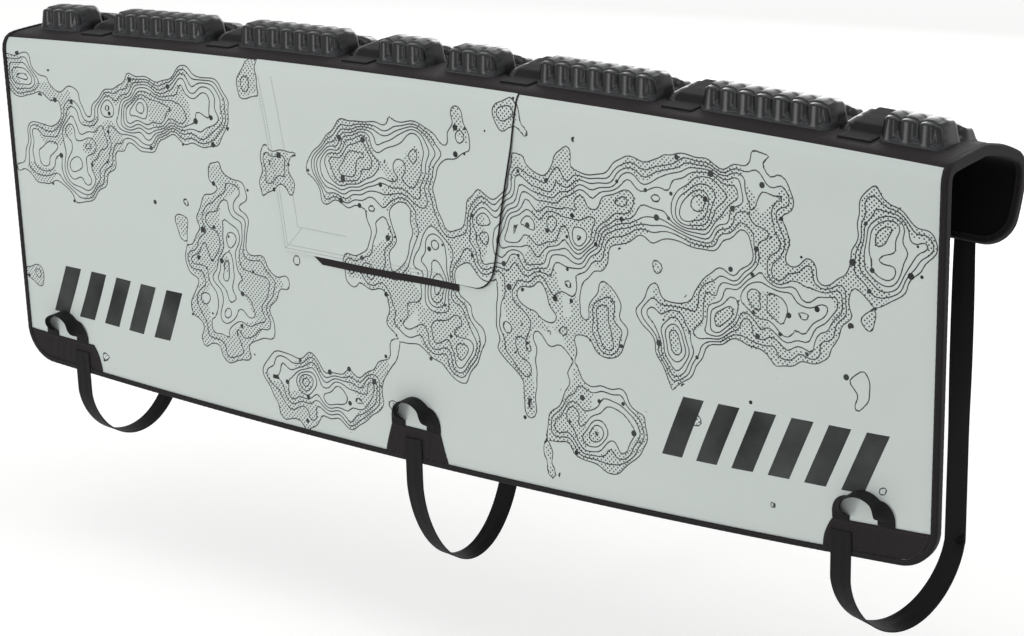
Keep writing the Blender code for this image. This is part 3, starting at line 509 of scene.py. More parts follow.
@dataclass(frozen=True)
class PrintedTarpaulin:
    """PVC-coated polyester: a smooth satin sheet that shows its weave faintly, screen printed.

    The print is made for this part: contour lines, a dot screen between some of them, scattered
    discs, and two groups of slanted bars. Lines come from the piece's attributes "level" and
    "steepness". They fade over the shares of their width in edge, and coast and disc_coast are the
    lowest levels that carry lines and discs. Spots and dents are how many changes of tone and soft
    dents there are in a metre.
    """

    name: str = "printed_tarpaulin"
    colour: str = "#C6CDC9"
    shade: str = "#BFC7C4"
    ink: str = "#151516"
    line_width: float = 0.0016
    disc_pitch: float = 0.040
    disc_radii: tuple = (0.0016, 0.0046)
    dot_pitch: float = 0.0046
    bars: tuple = ((-0.583, 0.128, 0.270, 0.078), (0.575, 0.128, 0.324, 0.082))
    bar_width: float = 0.032
    bar_pitch: float = 0.054
    bar_slant: float = 0.42
    edge: tuple = (0.35, 0.65)
    dot_radii: tuple = (0.22, 0.30)
    disc_share: float = 0.42
    coast: float = -0.5
    disc_coast: float = -0.9
    scrim: float = 0.0011
    spots: float = 3.0
    dents: float = 9.0
    roughness: float = 0.50
    specular: float = 0.20

    def lines(self, tree: Tree) -> Socket:
        """Contour lines: distance to the nearest whole level, divided by the slope, under a width.

        Args:
            tree: node tree that gets the nodes.

        Returns:
            Mask socket, 1 on a line.
        """
        level = add_node(tree, "Attribute", attribute_name="level", output="Fac")
        slope = add_node(tree, "Attribute", attribute_name="steepness", output="Fac")
        distance = level
        for operation, number in (("ADD", 0.5), ("FRACT", 0.0), ("SUBTRACT", 0.5), ("ABSOLUTE", 0.0),
                                  ("DIVIDE", slope)):
            distance = add_node(tree, "Math", {0: distance, 1: number}, operation=operation)
        line = add_node(tree, "MapRange", {
            0: distance, 1: self.line_width * self.edge[0], 2: self.line_width * self.edge[1],
            3: 1.0, 4: 0.0})
        land = add_node(tree, "Math", {0: level, 1: self.coast}, operation="GREATER_THAN")
        return add_node(tree, "Math", {0: line, 1: land}, operation="MULTIPLY")

    def screen(self, tree: Tree, flat: Socket) -> Socket:
        """Dot screen on a lattice turned 45 degrees, in the bands where "tone" is over a half.

        Args:
            tree: node tree that gets the nodes.
            flat: flat map socket.

        Returns:
            Mask socket, 1 on a dot.
        """
        turned = add_node(tree, "Mapping", {
            "Vector": flat, "Rotation": (0, 0, math.radians(45)), "Scale": (1 / self.dot_pitch,) * 3})
        cell = add_node(tree, "VectorMath", {0: turned}, operation="FRACTION")
        away = add_node(tree, "VectorMath", {0: cell, 1: (0.5, 0.5, 0.0)}, operation="DISTANCE",
                        output="Value")
        small, large = self.dot_radii
        dot = add_node(tree, "MapRange", {0: away, 1: small, 2: large, 3: 1.0, 4: 0.0})
        tone = add_node(tree, "Attribute", attribute_name="tone", output="Fac")
        shown = add_node(tree, "Math", {0: tone, 1: 0.5}, operation="GREATER_THAN")
        return add_node(tree, "Math", {0: dot, 1: shown}, operation="MULTIPLY")

    def discs(self, tree: Tree, flat: Socket) -> Socket:
        """Scattered discs: cells whose random number passes disc_share, filled to a random radius.

        Args:
            tree: node tree that gets the nodes.
            flat: flat map socket.

        Returns:
            Mask socket, 1 on a disc.
        """
        pitch = {"Vector": flat, "Scale": 1 / self.disc_pitch, "Randomness": 0.9}
        away = add_node(tree, "TexVoronoi", pitch, output="Distance", voronoi_dimensions="2D")
        draw = add_node(tree, "TexVoronoi", pitch, output="Color", voronoi_dimensions="2D")
        size = add_node(tree, "SeparateColor", {0: draw}, output=0)
        chosen = add_node(tree, "SeparateColor", {0: draw}, output=1)
        small, large = (radius / self.disc_pitch for radius in self.disc_radii)
        radius = add_node(tree, "MapRange", {0: size, 3: small, 4: large})
        mask = add_node(tree, "Math", {0: away, 1: radius}, operation="LESS_THAN")
        level = add_node(tree, "Attribute", attribute_name="level", output="Fac")
        for value, least in ((chosen, self.disc_share), (level, self.disc_coast)):
            passed = add_node(tree, "Math", {0: value, 1: least}, operation="GREATER_THAN")
            mask = add_node(tree, "Math", {0: mask, 1: passed}, operation="MULTIPLY")
        return mask

    def slanted_bars(self, tree: Tree, flat: Socket, place: tuple) -> Socket:
        """One group of bars: a sheared stripe pattern inside a parallelogram.

        Args:
            tree: node tree that gets the nodes.
            flat: flat map socket.
            place: centre x, centre s, length and height.

        Returns:
            Mask socket.
        """
        x0, s0, length, height = place
        local = add_node(tree, "VectorMath", {0: flat, 1: (x0, s0, 0.0)}, operation="SUBTRACT")
        x, s = (add_node(tree, "SeparateXYZ", {0: local}, output=k) for k in (0, 1))
        leaned = add_node(tree, "Math", {0: s, 1: -self.bar_slant, 2: x}, operation="MULTIPLY_ADD")
        from_end = add_node(tree, "Math", {0: leaned, 1: length / 2}, operation="ADD")
        stripe = add_node(tree, "Math", {0: from_end, 1: self.bar_pitch, 2: 0.0}, operation="WRAP")
        mask = add_node(tree, "Math", {0: stripe, 1: self.bar_width}, operation="LESS_THAN")
        for value, reach in ((leaned, length / 2), (s, height / 2)):
            away = add_node(tree, "Math", {0: value}, operation="ABSOLUTE")
            within = add_node(tree, "Math", {0: away, 1: reach}, operation="LESS_THAN")
            mask = add_node(tree, "Math", {0: mask, 1: within}, operation="MULTIPLY")
        return mask

    def material(self) -> Material:
        """Coated cloth with its print, a faint scrim bump and soft dents.

        Returns:
            The new material.
        """
        material, tree = new_material(self.name)
        flat = add_node(tree, "UVMap", uv_map="pattern")
        masks = [self.lines(tree), self.screen(tree, flat), self.discs(tree, flat)]
        masks += [self.slanted_bars(tree, flat, place) for place in self.bars]
        ink = masks[0]
        for mask in masks[1:]:
            ink = add_node(tree, "Math", {0: ink, 1: mask}, operation="MAXIMUM")
        spots = add_node(tree, "TexNoise", {"Vector": flat, "Scale": self.spots, "Detail": 3.0})
        ground = add_node(tree, "Mix", {
            "Factor": spots, "A": linear(self.colour), "B": linear(self.shade)}, **COLOUR_MIX)
        worn = add_node(tree, "TexNoise", {"Vector": flat, "Scale": self.dents, "Detail": 5.0})
        fading = add_node(tree, "MapRange", {0: worn, 1: 0.35, 2: 0.75, 3: 1.0, 4: 0.90})
        ink = add_node(tree, "Math", {0: ink, 1: fading}, operation="MULTIPLY")
        colour = add_node(tree, "Mix", {"Factor": ink, "A": ground, "B": linear(self.ink)}, **COLOUR_MIX)
        turns = 2 * math.pi / self.scrim
        scaled = add_node(tree, "VectorMath", {0: flat, 1: (turns, turns, 0.0)}, operation="MULTIPLY")
        threads = add_node(tree, "VectorMath", {0: scaled}, operation="SINE")
        u, v = (add_node(tree, "SeparateXYZ", {0: threads}, output=k) for k in (0, 1))
        scrim = add_node(tree, "Math", {0: u, 1: v}, operation="MULTIPLY")
        fine = add_node(tree, "Bump", {"Height": scrim, "Distance": 0.03 * MILLIMETRE})
        dents = add_node(tree, "Bump", {
            "Height": worn, "Distance": 0.8 * MILLIMETRE, "Strength": 0.5, "Normal": fine})
        return shaded(material, {"Base Color": colour, "Normal": dents, "Roughness": self.roughness,
                                 "Specular IOR Level": self.specular})


@dataclass(frozen=True)
class MouldedFoam:
    """Heat-moulded EVA foam: a dark satin skin, with a field of small dull bumps at its foot that is
    painted a lighter grey, a painted highlight where the flared foot faces up to the light.

    Tones is how many changes of tone there are in a metre.
    """

    name: str = "moulded_foam_skin"
    colour: str = "#101112"
    lit_colour: str = "#1D1E20"
    # Lighter grey of the nubbed foot: a painted highlight of the overhead light on the upward-facing skirt
    lit_nub_colour: str = "#4B4D50"
    tones: float = 26.0
    nub_mm: float = 1.9
    nub_height_mm: float = 0.16
    roughness: float = 0.24
    nub_roughness: float = 0.60
    specular: float = 0.28

    def material(self) -> Material:
        """Satin skin with slow changes of tone; a lattice of small bumps where the skirt's attribute is 1,
        each bump painted in the lighter grey as a painted highlight.

        Returns:
            The new material.
        """
        material, tree = new_material(self.name)
        place = add_node(tree, "TexCoord", output="Object")
        nubbed_and_lit = add_node(tree, "Attribute", attribute_name="nubs_and_highlight", output="Fac")
        lattice = add_node(tree, "TexVoronoi", {
            "Vector": place, "Scale": 1 / (self.nub_mm * MILLIMETRE), "Randomness": 0.25},
            output="Distance", voronoi_dimensions="3D")
        nub_and_highlight = add_node(tree, "MapRange", {0: lattice, 1: 0.15, 2: 0.60, 3: 1.0, 4: 0.0})
        nub_and_highlight = add_node(tree, "Math", {0: nub_and_highlight, 1: nubbed_and_lit}, operation="MULTIPLY")
        tone = add_node(tree, "TexNoise", {"Vector": place, "Scale": self.tones, "Detail": 4.0})
        skin = add_node(tree, "Mix", {
            "Factor": tone, "A": linear(self.colour), "B": linear(self.lit_colour)}, **COLOUR_MIX)
        # The bumps take the lighter grey: a painted highlight
        colour = add_node(tree, "Mix", {"Factor": nub_and_highlight, "A": skin, "B": linear(self.lit_nub_colour)},
                          **COLOUR_MIX)
        rough = add_node(tree, "MapRange", {0: nubbed_and_lit, 3: self.roughness, 4: self.nub_roughness})
        bump = add_node(tree, "Bump", {
            "Height": nub_and_highlight, "Distance": self.nub_height_mm * MILLIMETRE, "Strength": 0.8})
        return shaded(material, {"Base Color": colour, "Roughness": rough, "Normal": bump,
                                 "Specular IOR Level": self.specular})


@dataclass(frozen=True)
class PlainFinish:
    """A moulded plastic, foam or thread whose grain is fine noise."""

    name: str
    colour: str
    lit_colour: str
    grain_mm: float
    depth_mm: float
    roughness: float

    def material(self) -> Material:
        """Base colour mottled by the grain, and the grain as bump.

        Returns:
            The new material.
        """
        material, tree = new_material(self.name)
        place = add_node(tree, "TexCoord", output="Object")
        grain = add_node(tree, "TexNoise", {
            "Vector": place, "Scale": 1 / (self.grain_mm * MILLIMETRE), "Detail": 3.0})
        colour = add_node(tree, "Mix", {
            "Factor": grain, "A": linear(self.colour), "B": linear(self.lit_colour)}, **COLOUR_MIX)
        bump = add_node(tree, "Bump", {"Height": grain, "Distance": self.depth_mm * MILLIMETRE})
        return shaded(material, {"Base Color": colour, "Normal": bump, "Roughness": self.roughness})


# Acetal buckles, moulded with a fine spark-eroded grain
ACETAL = PlainFinish("moulded_acetal", "#0E0E0F", "#19191A", 0.6, 0.02, 0.38)
# Cross-linked polyethylene foam, a grey mat of closed cells
CORE_FOAM = PlainFinish("polyethylene_foam", "#4E4F51", "#6A6B6D", 1.4, 0.25, 0.95)
# Bonded polyester thread in black and in the grey of the tarpaulin
BLACK_THREAD = PlainFinish("black_thread", "#0F0F10", "#242425", 0.5, 0.05, 0.55)
GREY_THREAD = PlainFinish("grey_thread", "#7F8785", "#969D9B", 0.5, 0.05, 0.60)


# The flat pattern and how it folds


@dataclass
class Relief:
    """Soft dents and swells of a padded panel: a sum of seeded waves, faded out at the seams."""

    seed: int = 11
    swells: int = 14
    height: float = 0.0010
    longest: float = 0.52
    shortest: float = 0.11

    def __post_init__(self) -> None:
        """Draw the waves' directions, lengths and phases."""
        draw = np.random.default_rng(self.seed)
        lengths = np.geomspace(self.longest, self.shortest, self.swells)
        angles = draw.uniform(0, math.pi, self.swells)
        self.numbers = 2 * math.pi / lengths
        self.across, self.up = np.cos(angles), np.sin(angles)
        self.phase = draw.uniform(0, 2 * math.pi, self.swells)
        self.size = self.height * (lengths / self.longest) ** 0.9

    def waves(self, x: Array, s: Array) -> Array:
        """Sum over the waves of size * sin(number * (x cos a + s sin a) + phase).

        Args:
            x: along the pad.
            s: along the section.

        Returns:
            Height of the relief in metres.
        """
        total = np.zeros(np.broadcast(x, s).shape)
        for number, across, up, phase, size in zip(self.numbers, self.across, self.up, self.phase,
                                                   self.size):
            total += size * np.sin(number * (x * across + s * up) + phase)
        return total


@dataclass
class Pattern:
    """The flat cut of the pad and the fold that it takes over a tailgate."""

    pad_length: float = 1.600
    crown: float = 0.0200
    hem_sag: float = 0.0236
    hem_corner: float = 0.050
    flap_corner: float = 0.040
    thickness: float = 0.0120
    cover: float = 0.0010
    foam: float = 0.0088
    gap: float = 0.0003
    tape: float = 0.0012
    tape_face: float = 0.0090
    patch_height: float = 0.048
    bow_at_origin: float = 0.99234
    origin: float = 0.035
    runs: tuple = (
        (0.505, 90.0, 90.0), (0.018 * math.radians(88.0), 90.0, 2.0), (0.025, 2.0, 2.0),
        (0.070, 0.0, 0.0), (0.056, -14.0, -14.0), (0.043, -22.0, -22.0),
        (0.034 * math.radians(78.0), -22.0, -100.0), (0.150 * math.radians(18.0), -100.0, -118.0),
        (0.047, -118.0, -118.0))
    crease_width: float = 0.024
    relief: Relief = field(default_factory=Relief)

    def __post_init__(self) -> None:
        """Walk the section by heading: y and z are the running sums of its cosine and sine."""
        self.half = self.pad_length / 2
        self.rim = self.gap + self.tape
        self.sheet_half = self.half - self.rim
        marks = np.concatenate([[0.0], np.cumsum([run[0] for run in self.runs])])
        (_, self.fold_start, self.fold_end, self.seat_start, self.middle_start, self.rear_start,
         self.bend_start, self.flap_start, self.tail_start, self.end) = marks
        self.seam = self.fold_start + (self.fold_end - self.fold_start) * 0.6
        step, reach = 0.0005, 0.05
        s = np.arange(-reach, self.end + reach, step)
        knots = np.repeat(marks, 2)[1:-1] + np.tile([0.0, -1e-9], len(self.runs))
        heading = np.interp(s, knots, [angle for run in self.runs for angle in run[1:]])
        window = int(self.crease_width / step) | 1
        heading = np.convolve(np.pad(heading, window // 2, mode="edge"), np.ones(window) / window, "valid")
        angle = np.radians(heading)
        y, z = np.cumsum(np.cos(angle)) * step, np.cumsum(np.sin(angle)) * step
        y -= np.interp(self.seat_start + self.origin, s, y)
        z -= np.interp(self.seat_start + self.origin, s, z) - self.thickness
        self.section = s, y, z, -np.sin(angle), np.cos(angle)

    def puff(self, x: Array, s: Array) -> Array:
        """Relief of the padding: waves on the front panel and rear flap, none on top or at edges.

        Args:
            x: along the pad.
            s: along the section.

        Returns:
            Height above the flat cloth in metres.
        """
        edge = np.minimum(self.sheet_half - np.abs(x), np.minimum(s, self.end - s))
        front = smoothstep((self.fold_start - 0.01 - s) / 0.05)
        rear = smoothstep((s - self.flap_start) / 0.03)
        fade = smoothstep((edge - 0.012) / 0.07) * (front + 0.5 * rear)
        pinch = -0.0007 * np.exp(-((edge - 0.010) / 0.007) ** 2) * (front + rear)
        return self.relief.waves(x, s) * fade + pinch

    def fold(self, x: Array, s: Array, out: Array, follow: bool = True) -> Array:
        """Place pattern points in space.

        The point is the section at s, moved out along its normal, and lifted by the pad's bow: a
        parabola across x that grows from the hem's sag to the fold's crown.

        Args:
            x: along the pad.
            s: along the section.
            out: height above the outer face.
            follow: whether the point rides on the padding's relief.

        Returns:
            Points in metres.
        """
        x, s, out = np.broadcast_arrays(*[np.asarray(v, float) for v in (x, s, out)])
        if follow:
            out = out + self.puff(x, s)
        rows, y, z, normal_y, normal_z = self.section
        bow = np.interp(s, [0.0, self.fold_start], [-self.hem_sag, self.crown])
        lift = bow * (1 - (x / self.half) ** 2)
        return np.stack([
            x, np.interp(s, rows, y) + out * np.interp(s, rows, normal_y),
            np.interp(s, rows, z) + out * np.interp(s, rows, normal_z) + lift
            - self.crown * self.bow_at_origin], axis=-1)

    def along(self, x: Array, s: Array) -> Array:
        """Direction of x on the folded pad."""
        return unit(self.fold(x + 0.01, s, 0.0, False) - self.fold(x - 0.01, s, 0.0, False))

    def normal(self, x: Array, s: Array) -> Array:
        """Outward direction on the folded pad."""
        return unit(self.fold(x, s, 0.01, False) - self.fold(x, s, 0.0, False))

    def half_width(self, s: Array) -> Array:
        """Half the sheet's width at s, with quarter-circle corners at the hem and the flap.

        Args:
            s: along the section.

        Returns:
            Half widths in metres.
        """
        near = np.where(s < self.end / 2, s, self.end - s)
        radius = np.where(s < self.end / 2, self.hem_corner, self.flap_corner)
        short = np.clip(radius - near, 0, radius)
        return self.sheet_half - radius + np.sqrt(np.maximum(radius ** 2 - short ** 2, 0.0))

    def outline(self, step: float) -> tuple[Array, Array]:
        """The sheet's edge, walked once round, with the inward direction at each point.

        Args:
            step: distance between points.

        Returns:
            Points (x, s) of the edge and unit vectors towards the sheet's middle.
        """
        w, end = self.sheet_half, self.end
        pieces = []
        corners = ((w, 0.0, self.hem_corner, -90), (w, end, self.flap_corner, 0),
                   (-w, end, self.flap_corner, 90), (-w, 0.0, self.hem_corner, 180))
        for x, s, radius, start in corners:
            turn = np.radians(np.linspace(start, start + 90, 40))
            centre = np.array([x - math.copysign(radius, x), radius if s == 0 else end - radius])
            pieces.append(centre + radius * np.stack([np.cos(turn), np.sin(turn)], axis=1))
        ring = np.concatenate([*pieces, pieces[0][:1]])
        ring = resample(ring, step)[:-1]
        ahead = unit(np.roll(ring, -1, axis=0) - np.roll(ring, 1, axis=0))
        return ring, np.stack([-ahead[:, 1], ahead[:, 0]], axis=1)


# Pieces


@dataclass
class ContourPrint:
    """The made-up print: hills on the flat pattern, drawn by their contour lines."""

    seed: int = 5
    hills: tuple = (
        (-0.66, 0.335, 0.105, 0.065, 1.0), (-0.47, 0.430, 0.150, 0.055, 1.1),
        (-0.36, 0.215, 0.095, 0.105, 1.0), (-0.20, 0.075, 0.130, 0.045, 1.0),
        (-0.07, 0.390, 0.130, 0.075, 1.1), (0.02, 0.215, 0.105, 0.070, 1.0),
        (0.22, 0.345, 0.120, 0.110, 1.1), (0.28, 0.110, 0.085, 0.065, 1.0),
        (0.46, 0.420, 0.140, 0.060, 1.1), (0.58, 0.290, 0.130, 0.065, 1.0),
        (0.73, 0.420, 0.055, 0.060, 1.0), (0.42, 0.225, 0.050, 0.045, 0.8),
        (-0.74, 0.455, 0.060, 0.035, 0.9))
    threshold: float = 0.44
    spacing: float = 0.125
    waves: int = 22
    roughness: float = 0.62
    gentlest: float = 4.0

    def __post_init__(self) -> None:
        """Draw the waves that roughen the hills."""
        draw = np.random.default_rng(self.seed)
        self.lengths = np.geomspace(0.16, 0.028, self.waves)
        angle = draw.uniform(0, 2 * math.pi, self.waves)
        self.wave_x = 2 * math.pi / self.lengths * np.cos(angle)
        self.wave_s = 2 * math.pi / self.lengths * np.sin(angle)
        self.phase = draw.uniform(0, 2 * math.pi, self.waves)

    def level(self, x: Array, s: Array) -> Array:
        """Height in contour steps: Gaussian hills plus waves, less a threshold, over the spacing.

        Args:
            x: along the pad.
            s: along the section.

        Returns:
            Level at each point.
        """
        height = np.zeros(np.shape(x))
        for x0, s0, reach_x, reach_s, top in self.hills:
            height += top * np.exp(-(((x - x0) / reach_x) ** 2 + ((s - s0) / reach_s) ** 2))
        for wave_x, wave_s, phase, length in zip(self.wave_x, self.wave_s, self.phase, self.lengths):
            height += self.roughness * length * np.sin(wave_x * x + wave_s * s + phase)
        return (height - self.threshold) / self.spacing

    def attributes(self, x: Array, s: Array) -> dict[str, Array]:
        """Level, steepness and dot tone at pattern points.

        Args:
            x: along the pad.
            s: along the section.

        Returns:
            Arrays by attribute name; steepness is the length of the level's gradient per metre.
        """
        step = 0.0005
        level = self.level(x, s)
        slope_x = (self.level(x + step, s) - self.level(x - step, s)) / (2 * step)
        slope_s = (self.level(x, s + step) - self.level(x, s - step)) / (2 * step)
        tone = np.sin(37 * x + 11 * s + 1.0) * np.sin(29 * s - 17 * x) + 0.35 * np.sin(level * 1.3)
        tone = np.where(level > 0.1, 0.5 + tone, 0.0)
        steepness = np.maximum(np.hypot(slope_x, slope_s), self.gentlest)
        return {"level": level, "steepness": steepness, "tone": tone}


@dataclass
class Layers:
    """Front panel, top cover, foam sheets and lining, with the handle window cut through them."""

    pattern: Pattern
    art: ContourPrint
    step: float = 0.0052
    hidden_step: float = 0.0085
    window: tuple = (-0.190, 0.070, 0.300, 0.470)

    @staticmethod
    def lines(low: float, high: float, marks: tuple, step: float) -> Array:
        """Even grid lines between two limits that also pass through the marks.

        Args:
            low: first line.
            high: last line.
            marks: lines that have to be among them.
            step: wanted distance between lines.

        Returns:
            Grid lines in rising order.
        """
        stops = [low, *[mark for mark in marks if low < mark < high], high]
        runs = [np.linspace(a, b, max(2, int(round((b - a) / step)) + 1))
                for a, b in zip(stops, stops[1:])]
        return np.unique(np.concatenate(runs))

    def sheet(self, name: str, low: float, high: float, top: float, bottom: float,
              material: Material, follow: tuple[bool, bool], step: float,
              printed: bool = False) -> Piece:
        """One layer between two heights over part of the section.

        Args:
            name: name of the piece.
            low: where it starts along the section.
            high: where it ends.
            top: height of its outer face.
            bottom: height of its inner face.
            material: its finish.
            follow: whether the outer and the inner face ride on the relief.
            step: distance between grid lines.
            printed: whether it carries the print.

        Returns:
            The new piece.
        """
        p = self.pattern
        left, right, floor, ceiling = self.window
        ease = [1 - math.cos(math.pi / 2 * k / 10) for k in range(11)]
        corner = [p.hem_corner * share for share in ease]
        rear = [p.end - p.flap_corner * share for share in ease]
        rows = self.lines(low, high, (*corner[1:], p.hem_corner, floor, ceiling, p.fold_start, p.fold_end,
                                      *sorted(rear)[:-1]), step)
        columns = self.lines(-p.sheet_half, p.sheet_half, (left, right), step)
        x, s = np.meshgrid(columns, rows)
        x = x * (p.half_width(s) / p.sheet_half)
        middle_x = (columns[1:] + columns[:-1]) / 2
        middle_s = (rows[1:] + rows[:-1]) / 2
        hole = (((middle_s > floor) & (middle_s < ceiling))[:, None]
                & ((middle_x > left) & (middle_x < right))[None, :])
        return cloth_piece(name, p.fold(x, s, top, follow[0]), p.fold(x, s, bottom, follow[1]), (x, s),
                           material, self.art.attributes(x, s) if printed else None, ~hole)

    def build(self, tarpaulin: Material, textile: Material,
              foam: Material, fleece: Material) -> None:
        """Make the five layers, each in place of its imported node.

        Args:
            tarpaulin: the printed cloth's finish.
            textile: the black cloth's finish.
            foam: the core foam's finish.
            fleece: the lining's finish.
        """
        p = self.pattern
        under = -p.cover - p.gap
        core = under - p.foam
        cover, filling = (0.0, -p.cover), (under, core)
        front, rear = (0.0, p.seam - p.gap / 2), (p.seam + p.gap / 2, p.end)
        fine, coarse = ((True, True), self.step), ((True, False), self.hidden_step)
        for name, part, heights, material, (follow, step), slot, node in (
                ("front_cloth", front, cover, tarpaulin, fine, "tarpaulin", "front_panel"),
                ("top_cloth", rear, cover, textile, fine, "black_textile", "top_cover"),
                ("front_foam", front, filling, foam, coarse, "core_foam", "foam_front"),
                ("top_foam", rear, filling, foam, coarse, "core_foam", "foam_top"),
                ("lining_cloth", (0.0, p.end), (core - p.gap, -p.thickness), fleece,
                 ((False, False), self.hidden_step), "fleece", "fleece_lining")):
            piece = self.sheet(name, *part, *heights, material, follow, step, name == "front_cloth")
            stand_for(piece, slot, node)
            LOG.info("%s: %d faces", name, len(piece.data.polygons))


@dataclass
class EdgeTape:
    """Binding tape folded over all the layers, slightly puckered by its seam."""

    pattern: Pattern
    step: float = 0.0035
    pucker: float = 0.00035
    pucker_length: float = 0.0105
    drifts: int = 160
    bends: tuple = (0.0034, 0.0022)
    bend_step: float = 0.0011
    seam_inset: float = 0.0022
    seam_lift: float = 0.0002
    seed: int = 3

    def section(self) -> Array:
        """The tape's U section: distance from the sheet's edge, and height.

        Returns:
            Rows of distance and height, walked once round.
        """
        p = self.pattern
        leg = p.tape_face - p.rim
        high, low, t = p.gap, -p.thickness - p.gap, p.tape
        outer = rounded([(leg, high + t), (-p.gap - t, high + t), (-p.gap - t, low - t), (leg, low - t)],
                        self.bends[:1] * 2, self.bend_step)
        inner = rounded([(leg, high), (-p.gap, high), (-p.gap, low), (leg, low)], self.bends[1:] * 2,
                        self.bend_step)
        return np.concatenate([outer, inner[::-1]])

    def build(self, material: Material, thread: Material) -> None:
        """Sweep the section along the sheet's edge, then sew it on both faces.

        Args:
            material: the pieces' finish.
            thread: the stitches' finish.
        """
        p = self.pattern
        ring, inward = p.outline(self.step)
        section = self.section()
        x = ring[:, None, 0] + inward[:, None, 0] * section[None, :, 0]
        s = ring[:, None, 1] + inward[:, None, 1] * section[None, :, 0]
        along = np.arange(len(ring)) * self.step
        draw = np.random.default_rng(self.seed)
        drift = np.interp(along, np.linspace(0, along[-1], self.drifts),
                          draw.uniform(-1, 1, self.drifts), period=along[-1])
        wave = np.sin(2 * math.pi * along / self.pucker_length + 2.5 * drift) * (0.6 + 0.4 * drift)
        side = np.where(section[:, 1] > -p.thickness / 2, 1.0, -1.0)
        out = section[None, :, 1] + side * self.pucker * np.clip(wave, -0.6, 1.0)[:, None]
        points = p.fold(x, s, out, False)
        quads = grid_quads(*x.shape, wrap_rows=True, wrap_columns=True)
        tape = new_piece("binding", points, [quads], material, np.stack([x, s], axis=-1), smooth=55)
        stand_for(tape, "black_textile", "edge_binding")
        x, s = (ring + inward * (p.tape_face - p.rim - self.seam_inset)).T
        for name, height, turned in (("binding_seam", p.rim, 1.0),
                                     ("binding_seam_inside", -p.thickness - p.rim, -1.0)):
            sew(name, p.fold(x, s, height + turned * self.seam_lift, False), p.normal(x, s) * turned,
                thread, closed=True)
        LOG.info("binding: %d rings", len(ring))


def sew(name: str, path: Array, facing: Array, material: Material, pitch: float = 0.0042,
        length: float = 0.0032, radius: float = 0.00038, closed: bool = False) -> Piece:
    """A row of stitches along a path: short rounded threads that sink in at both ends.

    Each stitch is a tube whose radius is r * sqrt(1 - 0.8 t^2) and whose middle lies r * (0.4 - t^2)
    above the cloth, for t from -1 to 1 along it.

    Args:
        name: name of the piece.
        path: points on the cloth.
        facing: outward direction at each point.
        material: the thread's finish.
        pitch: distance from one stitch to the next.
        length: length of a stitch.
        radius: half the thread's thickness.
        closed: whether the path's end joins its start.

    Returns:
        The new piece.
    """
    if closed:
        path, facing = np.concatenate([path, path[:1]]), np.concatenate([facing, facing[:1]])
    along = lengths_along(path)
    count = max(1, int(along[-1] / pitch))
    centres = (np.arange(count) + 0.5) * along[-1] / count
    rings, sides = 5, 6
    t = np.linspace(-1, 1, rings)
    reads = centres[:, None] + t[None, :] * length / 2
    spine, up = read_at(reads, along, path), unit(read_at(reads, along, facing))
    ahead = unit(spine[:, -1:] - spine[:, :1])
    sideways = unit(np.cross(ahead, up))
    turn = np.linspace(0, 2 * math.pi, sides, endpoint=False)
    swell = radius * np.sqrt(1 - 0.8 * t ** 2)
    ring = (sideways[:, :, None] * np.cos(turn)[None, None, :, None]
            + up[:, :, None] * np.sin(turn)[None, None, :, None]) * swell[None, :, None, None]
    points = spine[:, :, None] + up[:, :, None] * (radius * (0.4 - t ** 2))[None, :, None, None] + ring
    quads = grid_quads(rings, sides, wrap_columns=True)
    start = np.arange(count)[:, None, None] * rings * sides
    caps = np.stack([np.arange(sides)[::-1], np.arange(sides) + (rings - 1) * sides])
    faces = [(quads[None] + start).reshape(-1, 4), (caps[None] + start).reshape(-1, sides)]
    return new_piece(name, points, faces, material, smooth=80)


def sew_on(name: str, pattern: Pattern, x: Array, s: Array, height: float, thread: Material,
           radius: float = 0.00038) -> None:
    """Sew along pattern points, just above cloth whose face lies at a height.

    Args:
        name: name of the piece.
        pattern: the flat pattern.
        x: along the pad.
        s: along the section.
        height: height of the cloth's face.
        thread: the thread's finish.
        radius: half the thread's thickness.
    """
    sew(name, pattern.fold(x, s, height + SEAM_LIFT), pattern.normal(x, s), thread, radius=radius)


